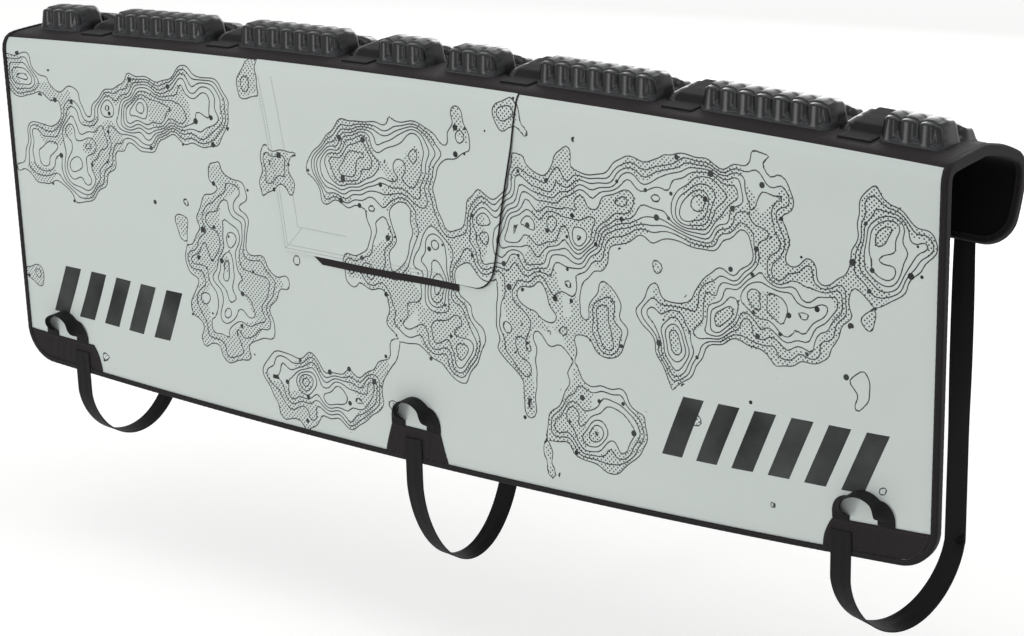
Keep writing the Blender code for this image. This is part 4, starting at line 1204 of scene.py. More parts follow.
@dataclass
class Blocks:
    """The moulded blocks: a high front row, a low rear row, and a saddle behind each frame gap."""

    pattern: Pattern
    ridge_pitch: float = 0.0255
    end_ridge: float = 0.0305
    ridges: tuple = (3, 7, 7, 3)
    frame_gap: float = 0.0665
    centre_gap: float = 0.0345
    front_start: float = 0.0025
    front_size: tuple = (0.064, 0.033)
    rear_size: tuple = (0.050, 0.0185)
    saddle_reach: float = 0.046
    saddle_nose: tuple = (0.011, 0.0075)
    saddle_fold: float = 0.0105
    saddle_height: float = 0.0190
    amplitude: float = 0.0045
    top_share: float = 0.85
    ridge_shift: float = -0.0040
    lean: float = 0.006
    corner: float = 0.0110
    end_round: float = 0.0095
    skirt: tuple = (0.0066, 0.0135)
    skirt_blend: float = 0.0005
    nub_fade: float = 0.0010
    crest_power: float = 2.6
    shoulder: float = 0.10
    foot_cut: float = 0.25
    foot_ease: float = 0.35
    rear_ease: float = 0.004
    step: float = 0.0011

    def width(self, ridges: int) -> float:
        """Length of a block along the pad."""
        return 2 * self.end_ridge + (ridges - 2) * self.ridge_pitch

    def centres(self) -> list[tuple[float, int]]:
        """Middles of the blocks and their numbers of ridges, left to right.

        Returns:
            Pairs of a middle and a number of ridges.
        """
        right, x = [], self.centre_gap / 2
        for ridges in self.ridges:
            right.append((x + self.width(ridges) / 2, ridges))
            x += self.width(ridges) + self.frame_gap
        return [(-x, ridges) for x, ridges in reversed(right)] + right

    def gaps(self) -> list[float]:
        """Middles of the six frame gaps, left to right.

        Returns:
            Middles in metres.
        """
        places = self.centres()
        middles = [(a + self.width(m) / 2 + b - self.width(n) / 2) / 2
                   for (a, m), (b, n) in zip(places, places[1:])]
        return [x for x in middles if abs(x) > self.centre_gap]

    def valleys(self, ridges: int) -> Array:
        """Where a block's ridges meet, with the places where the outer ones would run out.

        Args:
            ridges: number of ridges.

        Returns:
            Places across the block in rising order.
        """
        half = self.width(ridges) / 2
        inner = self.ridge_shift - half + self.end_ridge + self.ridge_pitch * np.arange(ridges - 1)
        return np.concatenate([[inner[0] - self.ridge_pitch], inner, [inner[-1] + self.ridge_pitch]])

    def arch(self, x: Array, valleys: Array) -> Array:
        """How far up its ridge each column lies, 0 in a valley and 1 on a crest.

        The share across a ridge runs 0 to 1 and the arch is 1 - |2 share - 1|^crest_power, a flat
        back with a tight valley. The outer flanks stop on their way down, as shoulders.

        Args:
            x: columns across the block.
            valleys: where ridges start and stop.

        Returns:
            Arch of each column.
        """
        count = len(valleys) - 1
        position = np.interp(x, valleys, np.arange(count + 1.0))
        share = position - np.minimum(np.floor(position), count - 1)
        share = np.where(position < 0.5, np.maximum(share, self.shoulder), share)
        share = np.where(position > count - 0.5, np.minimum(share, 1 - self.shoulder), share)
        return 1 - np.abs(2 * share - 1) ** self.crest_power

    def side_view(self, size: tuple, high: bool) -> Array:
        """The crest's outline from the front foot to the rear foot.

        Args:
            size: depth and height of the block.
            high: whether it is in the front row.

        Returns:
            Points of depth and height along the crest.
        """
        d, h = size
        if high:
            corners = [(0.0012, 0.0), (0.0040, 0.93 * h), (0.60 * d, 1.03 * h), (0.955 * d, 0.90 * h),
                       (d, 0.0)]
            return rounded(corners, [0.0034, 0.060, 0.0070], self.step)
        corners = [(0.0, 0.0), (0.10 * d, 0.96 * h), (0.80 * d, 1.0 * h), (d, 0.0)]
        return rounded(corners, [0.010, 0.011], self.step)

    def saddle_view(self, raised: float = 0.0) -> list[tuple[float, float]]:
        """Corners of a saddle's side view: low nose, ramp over the fold, high rear shoulder.

        Args:
            raised: how far its corners are moved outwards.

        Returns:
            Corners as depth and height, nose first.
        """
        nose, low = self.saddle_nose
        depth = self.rear_size[0]
        high = self.saddle_height + raised
        return [(nose - raised, low + raised), (self.saddle_reach, self.saddle_fold + raised),
                (self.saddle_reach + 0.58 * depth, high), (self.saddle_reach + 0.80 * depth, 0.92 * high)]

    def block(self, name: str, centre: float, half: float, valleys: Array, side: Array, start: float,
              skirted: bool, material: Material) -> Piece:
        """One block as a closed shell.

        The side view is carried across columns that climb the left wall, cross the ridges and go
        down the right wall. Ridges are cut in along the side view's normal, the skirt is the
        smooth outermost of the ridged face and a slanted plane, and the ends are turned by a
        quarter circle towards the wall that stands at each height.

        Args:
            name: name of the piece.
            centre: middle along the pad.
            half: half its length.
            valleys: where its ridges start and stop.
            side: its side view, front foot to rear foot.
            start: place of its front foot along the section.
            skirted: whether the front flares out at its foot.
            material: its finish.

        Returns:
            The new piece.
        """
        depth, height = side[-1, 0], side[:, 1].max()
        top = half - self.lean
        front = rounded([(-half, 0.0), (-top, height), (top, height), (half, 0.0)],
                        [self.end_round] * 2, self.step)
        x, fac = front[:, 0], np.clip(front[:, 1] / height, 0, 1)
        ahead = tangents(side)
        normal = np.stack([-ahead[:, 1], ahead[:, 0]], axis=1)
        ease = np.ones(len(side)) if skirted else smoothstep(side[:, 1] / (self.foot_ease * height))
        rear = smoothstep((depth - side[:, 0]) / self.rear_ease)
        facing = np.abs(normal[:, 0]) + self.top_share * np.abs(normal[:, 1])
        cut = (self.amplitude * (1 - self.arch(x, valleys))[None, :] * (ease * rear * facing)[:, None]
               * (self.foot_cut + (1 - self.foot_cut) * fac)[None, :])
        y = side[:, None, 0] - normal[:, None, 0] * cut
        z = np.maximum((side[:, None, 1] - normal[:, None, 1] * cut) * fac[None, :], 0.0)
        nubs_and_highlight = np.zeros(y.shape)
        if skirted:
            run, rise = self.skirt
            plane, soft = z * run / rise, self.skirt_blend
            # Upward-facing skirt: real nubbed texture, and the foam's painted highlight colour
            nubs_and_highlight = smoothstep((y - plane) / self.nub_fade) * (side[:, None, 0] < depth / 2)
            low = np.minimum(y, plane) - soft * np.log1p(np.exp(-np.abs(y - plane) / soft))
            y = np.maximum(np.where(side[:, None, 0] < depth / 2, low, y), 0.0)
        wall = half - self.lean * z / height
        past = np.clip(np.abs(x)[None, :] - (wall - self.corner), 0, self.corner)
        turn = self.corner - np.sqrt(np.maximum(self.corner ** 2 - past ** 2, 0))
        y = depth / 2 + (y - depth / 2) * (1 - 2 * turn / depth)
        grid_x = np.broadcast_to(x[None, :] + centre, y.shape)
        points = self.pattern.fold(grid_x, start + y, self.pattern.gap + z, False)
        rows, columns = y.shape
        index = np.arange(rows * columns).reshape(rows, columns)
        border = np.concatenate([index[0, :-1], index[:-1, -1], index[-1, :0:-1], index[:0:-1, 0]])
        middle = self.pattern.fold(centre, start + depth / 2, self.pattern.gap, False)
        base = np.stack([np.roll(border, -1), border, np.full(len(border), rows * columns)], axis=1)
        points = np.concatenate([points.reshape(-1, 3), middle.reshape(1, 3)])
        return new_piece(name, points, [grid_quads(rows, columns), base], material,
                         values={"nubs_and_highlight": np.append(nubs_and_highlight.ravel(), 0.0)}, smooth=48)

    def build(self, material: Material) -> None:
        """Make both rows and the saddles.

        Args:
            material: the pieces' finish.
        """
        p = self.pattern
        front, rear = p.seat_start + self.front_start, p.middle_start + p.gap
        high, low = self.side_view(self.front_size, True), self.side_view(self.rear_size, False)
        for number, (centre, ridges) in enumerate(self.centres(), start=1):
            half, valleys = self.width(ridges) / 2, self.valleys(ridges)
            piece = self.block(f"block_high_{number}", centre, half, valleys, high, front, True, material)
            stand_for(piece, "moulded_foam", f"front_block_{number}")
            piece = self.block(f"block_low_{number}", centre, half, valleys, low, rear, False, material)
            stand_for(piece, "moulded_foam", f"rear_block_{number}")
        half = self.frame_gap / 2 - 2 * p.gap
        depth = self.saddle_reach + self.rear_size[0]
        side = rounded([(0.0, 0.0), *self.saddle_view(), (depth, 0.0)], [0.006, 0.02, 0.02, 0.008],
                       self.step)
        valleys = np.array([-half - 0.004, -half / 2, half / 2, half + 0.004])
        for number, centre in enumerate(self.gaps(), start=1):
            piece = self.block(f"saddle_{number}", centre, half, valleys, side, rear - self.saddle_reach,
                               False, material)
            stand_for(piece, "moulded_foam", f"frame_saddle_{number}")
        LOG.info("blocks: %d ridged, %d saddles", 2 * len(self.centres()), len(self.gaps()))


def ribbon(name: str, centres: Array, across: Array, width: float, thickness: float,
           material: Material) -> Piece:
    """A flat band carried along a path, its section a rectangle with half-round edges.

    Args:
        name: name of the piece.
        centres: path of the band's middle.
        across: direction of its width at each point.
        width: the band's width.
        thickness: its thickness.
        material: its finish.

    Returns:
        The new piece.
    """
    ahead = tangents(centres)
    across = square_to(across, ahead)
    normal = np.cross(ahead, across)
    r = thickness / 2
    flat = np.linspace(-width / 2 + r, width / 2 - r, 9)
    round_right = np.radians([-60.0, -20.0, 20.0, 60.0])
    a = np.concatenate([flat, width / 2 - r + r * np.cos(round_right), flat[::-1],
                        -width / 2 + r - r * np.cos(round_right)])
    b = np.concatenate([np.full(9, -r), r * np.sin(round_right), np.full(9, r), -r * np.sin(round_right)])
    points = (centres[:, None] + across[:, None] * a[None, :, None] + normal[:, None] * b[None, :, None])
    rows, columns = points.shape[:2]
    along = lengths_along(centres)
    flat_map = np.stack(np.broadcast_arrays(along[:, None], a[None, :]), axis=-1)
    last = (rows - 1) * columns
    faces = [grid_quads(rows, columns, wrap_columns=True), list(range(columns))[::-1],
             [last + k for k in range(columns)]]
    return new_piece(name, points, faces, material, flat_map, smooth=50)


def lay_band(name: str, pattern: Pattern, x: float, path: Array, width: float, thickness: float,
             material: Material) -> Piece:
    """A band laid on the folded pad at one x, along a path of (s, height).

    Args:
        name: name of the piece.
        pattern: the flat pattern.
        x: place of the band's middle along the pad.
        path: its way, as rows of place along the section and height.
        width: the band's width.
        thickness: its thickness.
        material: its finish.

    Returns:
        The new piece.
    """
    s, height = path.T
    x = np.full(len(path), x)
    return ribbon(name, pattern.fold(x, s, height, False), pattern.along(x, s), width, thickness, material)


@dataclass
class FrameStraps:
    """Hook-and-loop straps that pass over each saddle and lie down in the frame gap."""

    pattern: Pattern
    blocks: Blocks
    width: float = 0.046
    thickness: float = 0.0022
    offset: float = 0.009
    toe: float = 0.080
    tail: float = 0.015

    def build(self, material: Material) -> None:
        """Lay one strap in each gap along a rounded path of (s, height).

        Args:
            material: the pieces' finish.
        """
        p = self.pattern
        fold = p.middle_start + p.gap
        start, depth = fold - self.blocks.saddle_reach, self.blocks.rear_size[0]
        floor, reach = p.gap + self.thickness / 2, p.gap + self.thickness
        over = [(start + y, z + p.gap) for y, z in self.blocks.saddle_view(p.gap + self.thickness / 2)]
        corners = [(fold - self.toe, floor), (start - reach, floor), *over, (fold + depth + reach, floor),
                   (fold + depth + reach + self.tail, floor)]
        path = rounded(corners, [0.006, 0.010, 0.035, 0.035, 0.012, 0.006], 0.0022)
        for number, gap in enumerate(self.blocks.gaps(), start=1):
            strap = lay_band(f"strap_over_saddle_{number}", p, gap + self.offset, path, self.width,
                             self.thickness, material)
            stand_for(strap, "black_webbing", f"frame_strap_{number}")
        LOG.info("frame straps: %d", len(self.blocks.gaps()))


@dataclass
class HandleFlap:
    """The printed flap over the handle window, its border stitching and the closure tape below."""

    pattern: Pattern
    art: ContourPrint
    low: float = 0.262
    corner: float = 0.026
    thickness: float = 0.0024
    left: tuple = (-0.245, -0.285)
    right: tuple = (0.125, 0.172)
    closure: tuple = (-0.190, 0.070, 0.010)
    lift: float = 0.0022
    # How far the black lining shows past the flap's edge: partly its own edge, partly painted shadow of the
    # gap under the flap
    lining_and_shadow: float = 0.0016
    ply_gap: float = 0.0001
    free_from: float = 0.80
    free_below: tuple = (0.50, 0.08)
    seam_rows: tuple = (("flap_seam_outer", 0.0035, 0.004), ("flap_seam_inner", 0.0085, 0.009),
                        ("flap_border_seam", 0.0330, 0.036))
    mitre: tuple = ((0.0035, 0.004), (0.0355, 0.036))
    seam_radius: float = 0.00042

    def side(self, s: Array, ends: tuple) -> Array:
        """Where a side of the flap lies at s: a straight line from its foot to the fold."""
        share = np.clip((s - self.low) / (self.pattern.fold_start - self.low), 0, 1)
        return ends[0] + (ends[1] - ends[0]) * share

    def build(self, tarpaulin: Material, thread: Material, textile: Material) -> None:
        """Make the flap, lifted a little at its free lower right corner, and its seams.

        Args:
            tarpaulin: the printed cloth's finish.
            thread: the stitches' finish.
            textile: the black cloth's finish.
        """
        p = self.pattern
        rows = np.unique(np.concatenate([
            self.low + self.corner * (1 - np.cos(np.linspace(0, math.pi / 2, 9))),
            np.linspace(self.low + self.corner, p.seam - p.gap, 60)]))
        left, right = self.side(rows, self.left), self.side(rows, self.right)
        short = np.clip(self.corner - (rows - self.low), 0, self.corner)
        right = right - (self.corner - np.sqrt(self.corner ** 2 - short ** 2))
        share = np.linspace(0, 1, 90)
        x = left[:, None] + (right - left)[:, None] * share[None, :]
        s = np.repeat(rows[:, None], len(share), axis=1)
        top, fade = self.free_below
        free = (smoothstep((share - self.free_from) / (1 - self.free_from))[None, :]
                * smoothstep((top - s) / fade))
        rise = self.lift * free + p.gap
        middle = rise + self.thickness / 2
        flap = cloth_piece("handle_flap", p.fold(x, s, rise + self.thickness),
                           p.fold(x, s, middle + self.ply_gap), (x, s), tarpaulin,
                           self.art.attributes(x, s))
        soften(flap, CUT_EDGE)
        stand_for(flap, "tarpaulin", "window_flap")
        # The black lining reaches past the flap's right edge and lower right corner: partly its own cut
        # edge, partly a painted shadow of the gap under the lifted edge
        wide = x + self.lining_and_shadow * smoothstep((share[None, :] - 0.9) / 0.1)
        foot = smoothstep((self.low + self.corner - s) / self.corner)
        deep = s - self.lining_and_shadow * foot * share[None, :] ** 8
        lining_and_shadow = cloth_piece("flap_lining_and_shadow", p.fold(wide, deep, middle), p.fold(wide, deep, rise), (x, s),
                              textile)
        soften(lining_and_shadow, CUT_EDGE)
        stand_for(lining_and_shadow, "black_textile")
        wide = (self.right[0] + self.right[1] - self.left[0] - self.left[1]) / 2
        self.seams(thread)
        self.tape(textile)

    def seams(self, thread: Material) -> None:
        """Two rows of stitches round the sewn sides and one round the inner border, mitred.

        Args:
            thread: the stitches' finish.
        """
        p = self.pattern
        top = p.fold_start - 0.004
        face = p.gap + self.thickness
        for name, inset, up in self.seam_rows:
            foot = self.low + up
            s = np.concatenate([np.linspace(top, foot, 70), np.full(40, foot)])
            down = self.side(s[:70], self.left) + inset
            x = np.concatenate([down, np.linspace(down[-1], self.right[0] - 0.030 - inset, 40)])
            if name == "flap_border_seam":
                x[70:] = np.linspace(down[-1], self.left[0] + 0.12, 40)
            sew_on(name, p, x, s, face, thread, self.seam_radius)
        mitre = resample(np.array(self.mitre) + (self.left[0], self.low), 0.002)
        sew_on("flap_mitre_seam", p, *mitre.T, face, thread, self.seam_radius)

    def tape(self, textile: Material) -> None:
        """Black closure tape along the flap's lower edge, pointed at its left end.

        Args:
            textile: the black cloth's finish.
        """
        p = self.pattern
        start, stop, height = self.closure
        share = np.linspace(0, 1, 60)
        s = np.array([[self.low - p.gap - height], [self.low - p.gap]]) + 0 * share[None, :]
        left = np.array([[start + height * 1.6], [start]])
        x = left + (stop - left) * share[None, :]
        tape = cloth_piece("closure_strip", p.fold(x, s, p.gap + p.tape), p.fold(x, s, p.gap), (x, s),
                           textile)
        soften(tape, CUT_EDGE)
        stand_for(tape, "black_webbing", "closure_tape")


@dataclass
class HemPatches:
    """Reinforcement patches along the hem, a little creased, with a seam near their edges."""

    pattern: Pattern
    corner_length: float = 0.160
    corner_slant: float = 0.014
    middle: tuple = (-0.018, 0.112, 0.088)
    crease: float = 0.0005
    crease_waves: tuple = (310.0, 90.0, 131.0)
    seam_inset: float = 0.0035

    def patch(self, name: str, left: Array, right: Array, rows: Array, node: str,
              material: Material, thread: Material) -> None:
        """One patch between two sides, with vertical creases that fade at its seams.

        Args:
            name: name of the piece.
            left: its left side at each row.
            right: its right side at each row.
            rows: its rows along the section.
            node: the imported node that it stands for.
            material: the pieces' finish.
            thread: the stitches' finish.
        """
        p = self.pattern
        share = np.linspace(0, 1, 60)
        x = left[:, None] + (right - left)[:, None] * share[None, :]
        s = np.repeat(rows[:, None], len(share), axis=1)
        inner = np.minimum(share, 1 - share)[None, :] * (s - rows[0]) * (rows[-1] - s)
        fine, slant, wide = self.crease_waves
        folds = np.sin(x * fine + 2 * np.sin(s * slant)) * np.sin(x * wide + 1.0)
        height = p.gap + p.tape + self.crease * folds * np.clip(inner * 16 / p.patch_height ** 2, 0, 1)
        piece = cloth_piece(name, p.fold(x, s, height), p.fold(x, s, p.gap), (x, s), material)
        soften(piece, CUT_EDGE)
        stand_for(piece, "black_textile", node)
        inset = self.seam_inset
        across = np.linspace(left[-1] + inset, right[-1] - inset, 40)
        sew_on(name + "_seam", p, np.concatenate([left[2:-1] + inset, across, right[-2:1:-1] - inset]),
               np.concatenate([rows[2:-1], np.full(40, rows[-1] - inset), rows[-2:1:-1]]),
               p.gap + p.tape, thread)

    def build(self, material: Material, thread: Material) -> None:
        """Two corner patches that follow the tape's inner arc, and one in the middle.

        Args:
            material: the pieces' finish.
            thread: the stitches' finish.
        """
        p = self.pattern
        start = p.tape_face - p.rim + p.gap
        angle = np.linspace(0, math.pi / 2, 40)
        arc = p.hem_corner - start
        rows = np.linspace(start, p.patch_height, 26)
        outer = np.interp(rows, p.hem_corner - arc * np.cos(angle),
                          p.sheet_half - p.hem_corner + arc * np.sin(angle))
        rise = (rows - start) / (p.patch_height - start)
        inner = p.half - self.corner_length + self.corner_slant * rise ** 2
        self.patch("patch_left", -outer, -inner, rows, "hem_patch_left", material, thread)
        self.patch("patch_right", inner, outer, rows, "hem_patch_right", material, thread)
        centre, low, high = self.middle
        half = (low + (high - low) * rise) / 2
        self.patch("patch_middle", centre - half, centre + half, rows, "hem_patch_middle", material, thread)


@dataclass(frozen=True)
class Side:
    """Where one set of webbing sits: grab loop, strap on the front and on the rear, hang and twist."""

    name: str
    loop: float
    front: float
    rear: float
    hang: float
    twist: float


SIDES = (Side("left", -0.710, -0.680, -0.668, 0.125, 8.0),
         Side("middle", -0.018, -0.022, 0.012, 0.176, 12.0),
         Side("right", 0.698, 0.667, 0.735, 0.127, 48.0))


@dataclass
class HoldDowns:
    """Grab loops, tailgate straps, three-bar buckles, their tabs and the carry tab."""

    pattern: Pattern
    loop_width: float = 0.025
    loop_spacing: float = 0.064
    loop_rise: float = 0.043
    loop_foot: float = 0.006
    webbing: float = 0.030
    thickness: float = 0.0016
    tab: float = 0.024
    drop: float = 0.030
    base: float = 0.0042
    buckle: float = 0.0040
    rail: float = 0.0045
    bar: float = 0.0040
    slot: float = 0.0090
    rise: float = 0.013
    buckle_tab: float = 0.022
    tail: float = 0.012
    sharpness: float = 1.18
    loop_turn: tuple = (1.35, 1.2)
    step: float = 0.004
    carry: tuple = (0.030, 0.058, 0.026, 0.0070)

    def grab_loop(self, side: Side, material: Material) -> None:
        """A loop that lies flat at its feet and stands edge-on at its crown.

        Its middle runs half round an ellipse over the patch while the band turns by up to 90
        degrees, so it also lifts off the panel by half its width times the sine of that turn.

        Args:
            side: which set it belongs to.
            material: its finish.
        """
        p = self.pattern
        turn = np.linspace(0, math.pi, 29)
        reach = self.loop_spacing / 2
        tall = self.loop_rise - self.loop_foot
        x = side.loop - reach * np.cos(turn)
        s = p.patch_height + p.gap + self.loop_foot + tall * np.sin(turn)
        gain, power = self.loop_turn
        twist = math.pi / 2 * np.clip(np.sin(turn) * gain, 0, 1) ** power
        along = unit(np.stack([reach * np.sin(turn), tall * np.cos(turn)], axis=1))
        foot = p.patch_height + p.gap
        x = np.concatenate([[x[0]] * 2, x, [x[-1]] * 2])
        s = np.concatenate([[foot, foot + self.loop_foot / 2], s, [foot + self.loop_foot / 2, foot]])
        twist = np.concatenate([[0, 0], twist, [0, 0]])
        along = np.concatenate([[[0, 1.0]] * 2, along, [[0, -1.0]] * 2])
        lift = p.gap + self.thickness / 2 * np.cos(twist) + self.loop_width / 2 * np.sin(twist)
        centres = p.fold(x, s, lift)
        e_x, e_n = p.along(x, s), p.normal(x, s)
        e_s = np.cross(e_n, e_x)
        inside = e_x * along[:, 1:] - e_s * along[:, :1]
        across = inside * np.cos(twist)[:, None] + e_n * np.sin(twist)[:, None]
        keep = spline(np.concatenate([centres, unit(across)], axis=1), self.step)
        loop = ribbon(f"hand_loop_{side.name}", keep[:, :3], keep[:, 3:], self.loop_width, self.thickness,
                      material)
        stand_for(loop, "black_webbing", f"grab_loop_{side.name}")

    def strap(self, side: Side, material: Material) -> None:
        """One tailgate strap: patch, drop, swing under the gate, up the flap and round the buckle.

        Args:
            side: which set it belongs to.
            material: the pieces' finish.
        """
        p = self.pattern
        face = p.rim + p.gap + self.thickness / 2
        down = p.fold(side.front, np.array([p.tape_face + self.tab, p.tape_face + self.tab / 2,
                                            p.tape_face, -p.rim]), face, False)
        middle_bar = p.end - self.rise - 2 * self.bar - self.slot
        up = p.fold(side.rear, np.linspace(p.end + p.rim, middle_bar, 5), face, False)
        bottom = down[-1, 2] - side.hang
        turn = np.linspace(0, math.pi, 25)
        share = (1 - np.cos(turn)) / 2
        swing = np.column_stack([
            side.front + (side.rear - side.front) * share,
            down[-1, 1] + (up[0, 1] - down[-1, 1]) * share,
            bottom + (side.hang - self.drop) * (1 - np.sin(turn) ** self.sharpness)])
        climb = np.linspace(swing[-1], up[0], 6)[1:-1]
        over = self.base + self.buckle + p.gap + self.thickness / 2
        angle = np.linspace(-math.pi / 2, math.pi / 2, 7)[1:]
        middle, radius = (face + over) / 2, (over - face) / 2
        low_bar = p.end - self.rise
        rest = face + self.thickness + p.gap
        s = np.concatenate([middle_bar - np.cos(angle) * radius * 0.8,
                            low_bar + np.array([0.001, 0.004, self.tail - 0.002, self.tail])])
        out = np.concatenate([middle + np.sin(angle) * radius, [over, over * 0.85, rest, rest]])
        back = p.fold(side.rear, s, out, False)
        centres = np.vstack([down, swing, climb, up, back])
        air = len(swing) + len(climb)
        level = np.concatenate([np.zeros(len(down)), np.linspace(0, 1, air),
                                np.ones(len(up) + len(back))])[:, None]
        base = (1 - level) * p.along(side.front, 0.0) + level * p.along(side.rear, p.end)
        count = np.arange(len(centres))
        stop = len(down) + air
        twist = np.clip((count - len(down)) / len(swing), 0, 1) * np.clip((stop - count) / 3, 0, 1)
        angle = np.radians(side.twist) * twist
        ahead = tangents(centres)
        base = square_to(base, ahead)
        across = base * np.cos(angle)[:, None] + np.cross(ahead, base) * np.sin(angle)[:, None]
        smooth = spline(np.concatenate([centres, across], axis=1), self.step)
        strap = ribbon(f"gate_strap_{side.name}", smooth[:, :3], smooth[:, 3:], self.webbing,
                       self.thickness, material)
        stand_for(strap, "black_webbing", f"tailgate_strap_{side.name}")

    def buckle_set(self, side: Side, plastic: Material, webbing: Material) -> None:
        """A three-bar buckle with rounded bars, and the tab that holds its upper bar.

        Args:
            side: which set it belongs to.
            plastic: the buckles' finish.
            webbing: the webbing's finish.
        """
        p = self.pattern
        low = p.end - self.rise
        rows = low - np.cumsum([0, self.bar, self.slot, self.bar, self.slot, self.bar])
        half = self.webbing / 2 + p.gap * 3
        columns = side.rear + np.array([-half - self.rail, -half, half, half + self.rail])
        x, s = np.meshgrid(columns, rows[::-1])
        keep = np.ones((5, 3), bool)
        keep[1::2, 1] = False
        points, faces = plate(p.fold(x, s, self.base + self.buckle, False),
                              p.fold(x, s, self.base, False), keep)
        buckle = new_piece(f"slide_buckle_{side.name}", points, faces, plastic, smooth=30)
        soften(buckle, 0.0011, 3, 40.0)
        stand_for(buckle, "black_plastic", f"strap_buckle_{side.name}")
        floor = p.gap + self.thickness / 2
        over = self.base + self.buckle + p.gap + self.thickness / 2
        slot, end = rows[-2] + p.gap + self.thickness, rows[-1] - self.buckle_tab
        upper = floor + self.thickness + p.gap
        path = rounded([(end, floor), (slot, floor), (slot, over), (rows[-1] - 0.001, over),
                        (rows[-1] - 0.009, upper), (end, upper)], [0.0016, 0.0016, 0.004, 0.006], 0.0008)
        tab = lay_band(f"buckle_loop_{side.name}", p, side.rear, path, self.webbing, self.thickness,
                       webbing)
        stand_for(tab, "black_webbing", f"buckle_tab_{side.name}")

    def carry_tab(self, material: Material) -> None:
        """The folded tab on the rear edge of the top panel.

        Args:
            material: the pieces' finish.
        """
        p = self.pattern
        centre, width, depth, height = self.carry
        rear = p.bend_start + depth / 2
        floor, high = p.gap + self.thickness / 2, p.gap + height - self.thickness / 2
        turn = np.linspace(-math.pi / 2, math.pi / 2, 9)
        radius = (high - floor) / 2
        arc = np.stack([rear + radius * np.cos(turn), floor + radius + radius * np.sin(turn)], axis=1)
        back = (rear - depth, floor + self.thickness + p.gap)
        path = resample(np.concatenate([[(rear - depth, floor)], arc, [back]]), 0.0015)
        tab = lay_band("rear_carry_tab", p, centre, path, width, self.thickness, material)
        stand_for(tab, "black_webbing", "carry_tab")

    def build(self, webbing: Material, plastic: Material) -> None:
        """Make the three sets and the carry tab.

        Args:
            webbing: the webbing's finish.
            plastic: the buckles' finish.
        """
        for side in SIDES:
            self.grab_loop(side, webbing)
            self.strap(side, webbing)
            self.buckle_set(side, plastic, webbing)
        self.carry_tab(webbing)
        LOG.info("hold-downs: %d sets", len(SIDES))


# Studio


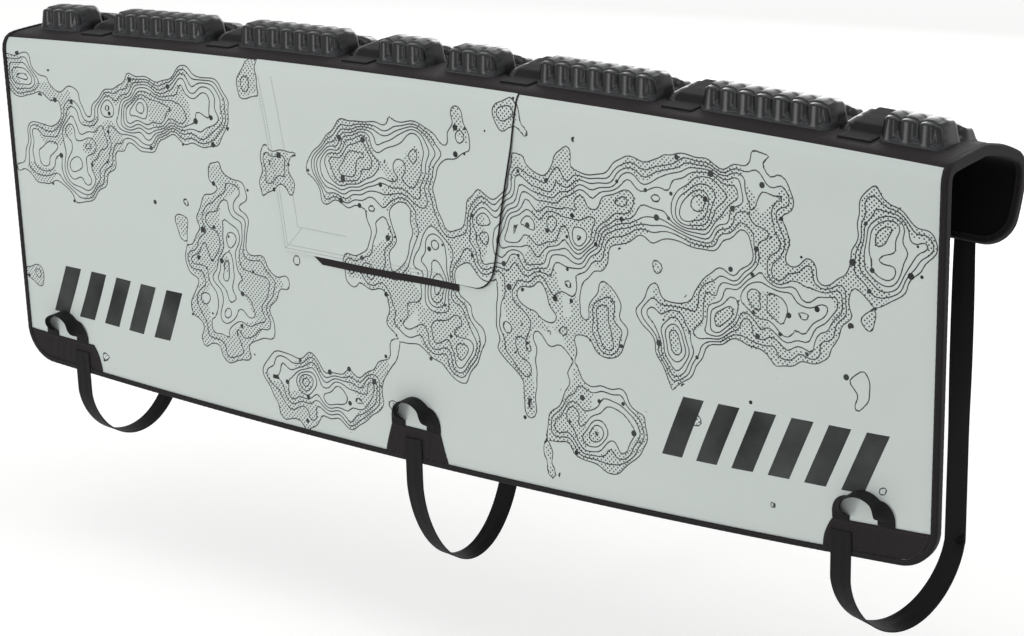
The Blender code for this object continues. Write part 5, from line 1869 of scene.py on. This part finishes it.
@dataclass
class Studio:
    """Camera, lamps, world and floor."""

    azimuth: float = 35.68
    elevation: float = 18.54
    roll: float = -1.653
    distance: float = 3.369
    lens: float = 2460 / 1024 * 36
    target: tuple = (0.1558, -0.0774, -0.3082)
    lamps: tuple = (
        ("overhead", (0.3, -0.4, 2.8), (3.2, 1.6), 26.0),
        ("front_left", (-1.2, -3.6, 0.0), (0.9, 2.6), 50.0),
        ("front_strip", (2.3, -4.4, -0.1), (0.4, 2.6), 24.0),
        ("rear_box", (-0.7, 3.8, 1.0), (3.0, 1.7), 64.0))
    aim: tuple = (0.0, 0.0, -0.2)
    floor_size: float = 30.0
    floor_level: float = -0.86
    floor_glow: tuple = (0.27, 0.53)
    glow_reach: tuple = (1.2, 7.0)
    sky: float = 0.54

    def camera(self) -> None:
        """A camera on a sphere round the target, turned by its roll."""
        az, el, roll = (math.radians(v) for v in (self.azimuth, self.elevation, self.roll))
        back = Vector((math.sin(az) * math.cos(el), -math.cos(az) * math.cos(el), math.sin(el)))
        level = Vector((0, 0, 1)).cross(back).normalized()
        upward = back.cross(level)
        right = level * math.cos(roll) + upward * math.sin(roll)
        up = -level * math.sin(roll) + upward * math.cos(roll)
        place = Vector(self.target) + back * self.distance
        data = bpy.data.cameras.new("camera")
        data.lens, data.sensor_width = self.lens, 36.0
        camera = new_object("camera", data)
        camera.matrix_world = Matrix((
            (right.x, up.x, back.x, place.x), (right.y, up.y, back.y, place.y),
            (right.z, up.z, back.z, place.z), (0, 0, 0, 1)))
        bpy.context.scene.camera = camera

    def lamp(self, name: str, place: tuple, size: tuple, power: float) -> None:
        """A soft box aimed at the middle of the pad.

        Args:
            name: name of the lamp.
            place: where it stands.
            size: its width and height.
            power: its power in watts.
        """
        data = bpy.data.lights.new(name, "AREA")
        data.shape = "RECTANGLE"
        data.size, data.size_y = size
        data.energy = power
        lamp = new_object(name, data)
        lamp.location = place
        aim = Vector(self.aim) - Vector(place)
        lamp.rotation_euler = aim.to_track_quat("-Z", "Y").to_euler()
        lamp.visible_camera = False

    @staticmethod
    def looked_at(tree: Tree) -> Socket:
        """1 for rays from the camera, straight or by reflection or transmission, and 0 for light.

        Args:
            tree: node tree that gets the nodes.

        Returns:
            Socket that is 1 or 0.
        """
        seen = [add_node(tree, "LightPath", output=f"Is {kind} Ray")
                for kind in ("Camera", "Glossy", "Transmission")]
        either = add_node(tree, "Math", {0: seen[0], 1: seen[1]}, operation="MAXIMUM")
        return add_node(tree, "Math", {0: either, 1: seen[2]}, operation="MAXIMUM")

    def build(self) -> None:
        """Camera first, then the lamps, a white world and a pale floor that keeps the shadow."""
        self.camera()
        for lamp in self.lamps:
            self.lamp(*lamp)
        world = bpy.data.worlds.new("studio")
        bpy.context.scene.world = world
        world.use_nodes = True
        tree = world.node_tree
        strength = add_node(tree, "MapRange", {0: self.looked_at(tree), 3: self.sky, 4: 1.0})
        connect(tree, tree.nodes["Background"], {"Strength": strength, "Color": (1, 1, 1, 1)})
        self.floor()

    def floor(self) -> None:
        """A pale floor whose own glow, low near the pad and higher far off, is there only to the eye."""
        material, tree = new_material("paper_floor")
        place = add_node(tree, "TexCoord", output="Object")
        away = add_node(tree, "VectorMath", {0: place}, output="Value", operation="LENGTH")
        (near, far), (low, high) = self.glow_reach, self.floor_glow
        glow = add_node(tree, "MapRange", {0: away, 1: near, 2: far, 3: low, 4: high})
        glow = add_node(tree, "Math", {0: glow, 1: self.looked_at(tree)}, operation="MULTIPLY")
        shaded(material, {"Base Color": linear("#EDEDEC"), "Roughness": 0.9,
                          "Emission Color": (1, 1, 1, 1), "Emission Strength": glow})
        size, level = self.floor_size, self.floor_level
        mesh = bpy.data.meshes.new("floor")
        mesh.from_pydata([(-size, -size, level), (size, -size, level), (size, size, level),
                          (-size, size, level)], [], [(0, 1, 2, 3)])
        mesh.materials.append(material)
        new_object("floor", mesh)


def main() -> None:
    """Build the studio and the pad, class by class."""
    logging.basicConfig(level=logging.INFO, format="%(name)s: %(message)s")
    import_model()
    bpy.context.scene.view_settings.view_transform = "Standard"
    Studio().build()
    pattern, art = Pattern(), ContourPrint()
    tarpaulin = PrintedTarpaulin().material()
    textile, tape, webbing = TEXTILE.material(), BINDING_TAPE.material(), WEBBING.material()
    foam_skin, plastic = MouldedFoam().material(), ACETAL.material()
    black, grey = BLACK_THREAD.material(), GREY_THREAD.material()
    Layers(pattern, art).build(tarpaulin, textile, CORE_FOAM.material(), FLEECE.material())
    EdgeTape(pattern).build(tape, black)
    blocks = Blocks(pattern)
    blocks.build(foam_skin)
    FrameStraps(pattern, blocks).build(LOOP_FACE.material())
    HandleFlap(pattern, art).build(tarpaulin, grey, textile)
    HemPatches(pattern).build(textile, black)
    HoldDowns(pattern).build(webbing, plastic)


if __name__ == "__main__":
    main()
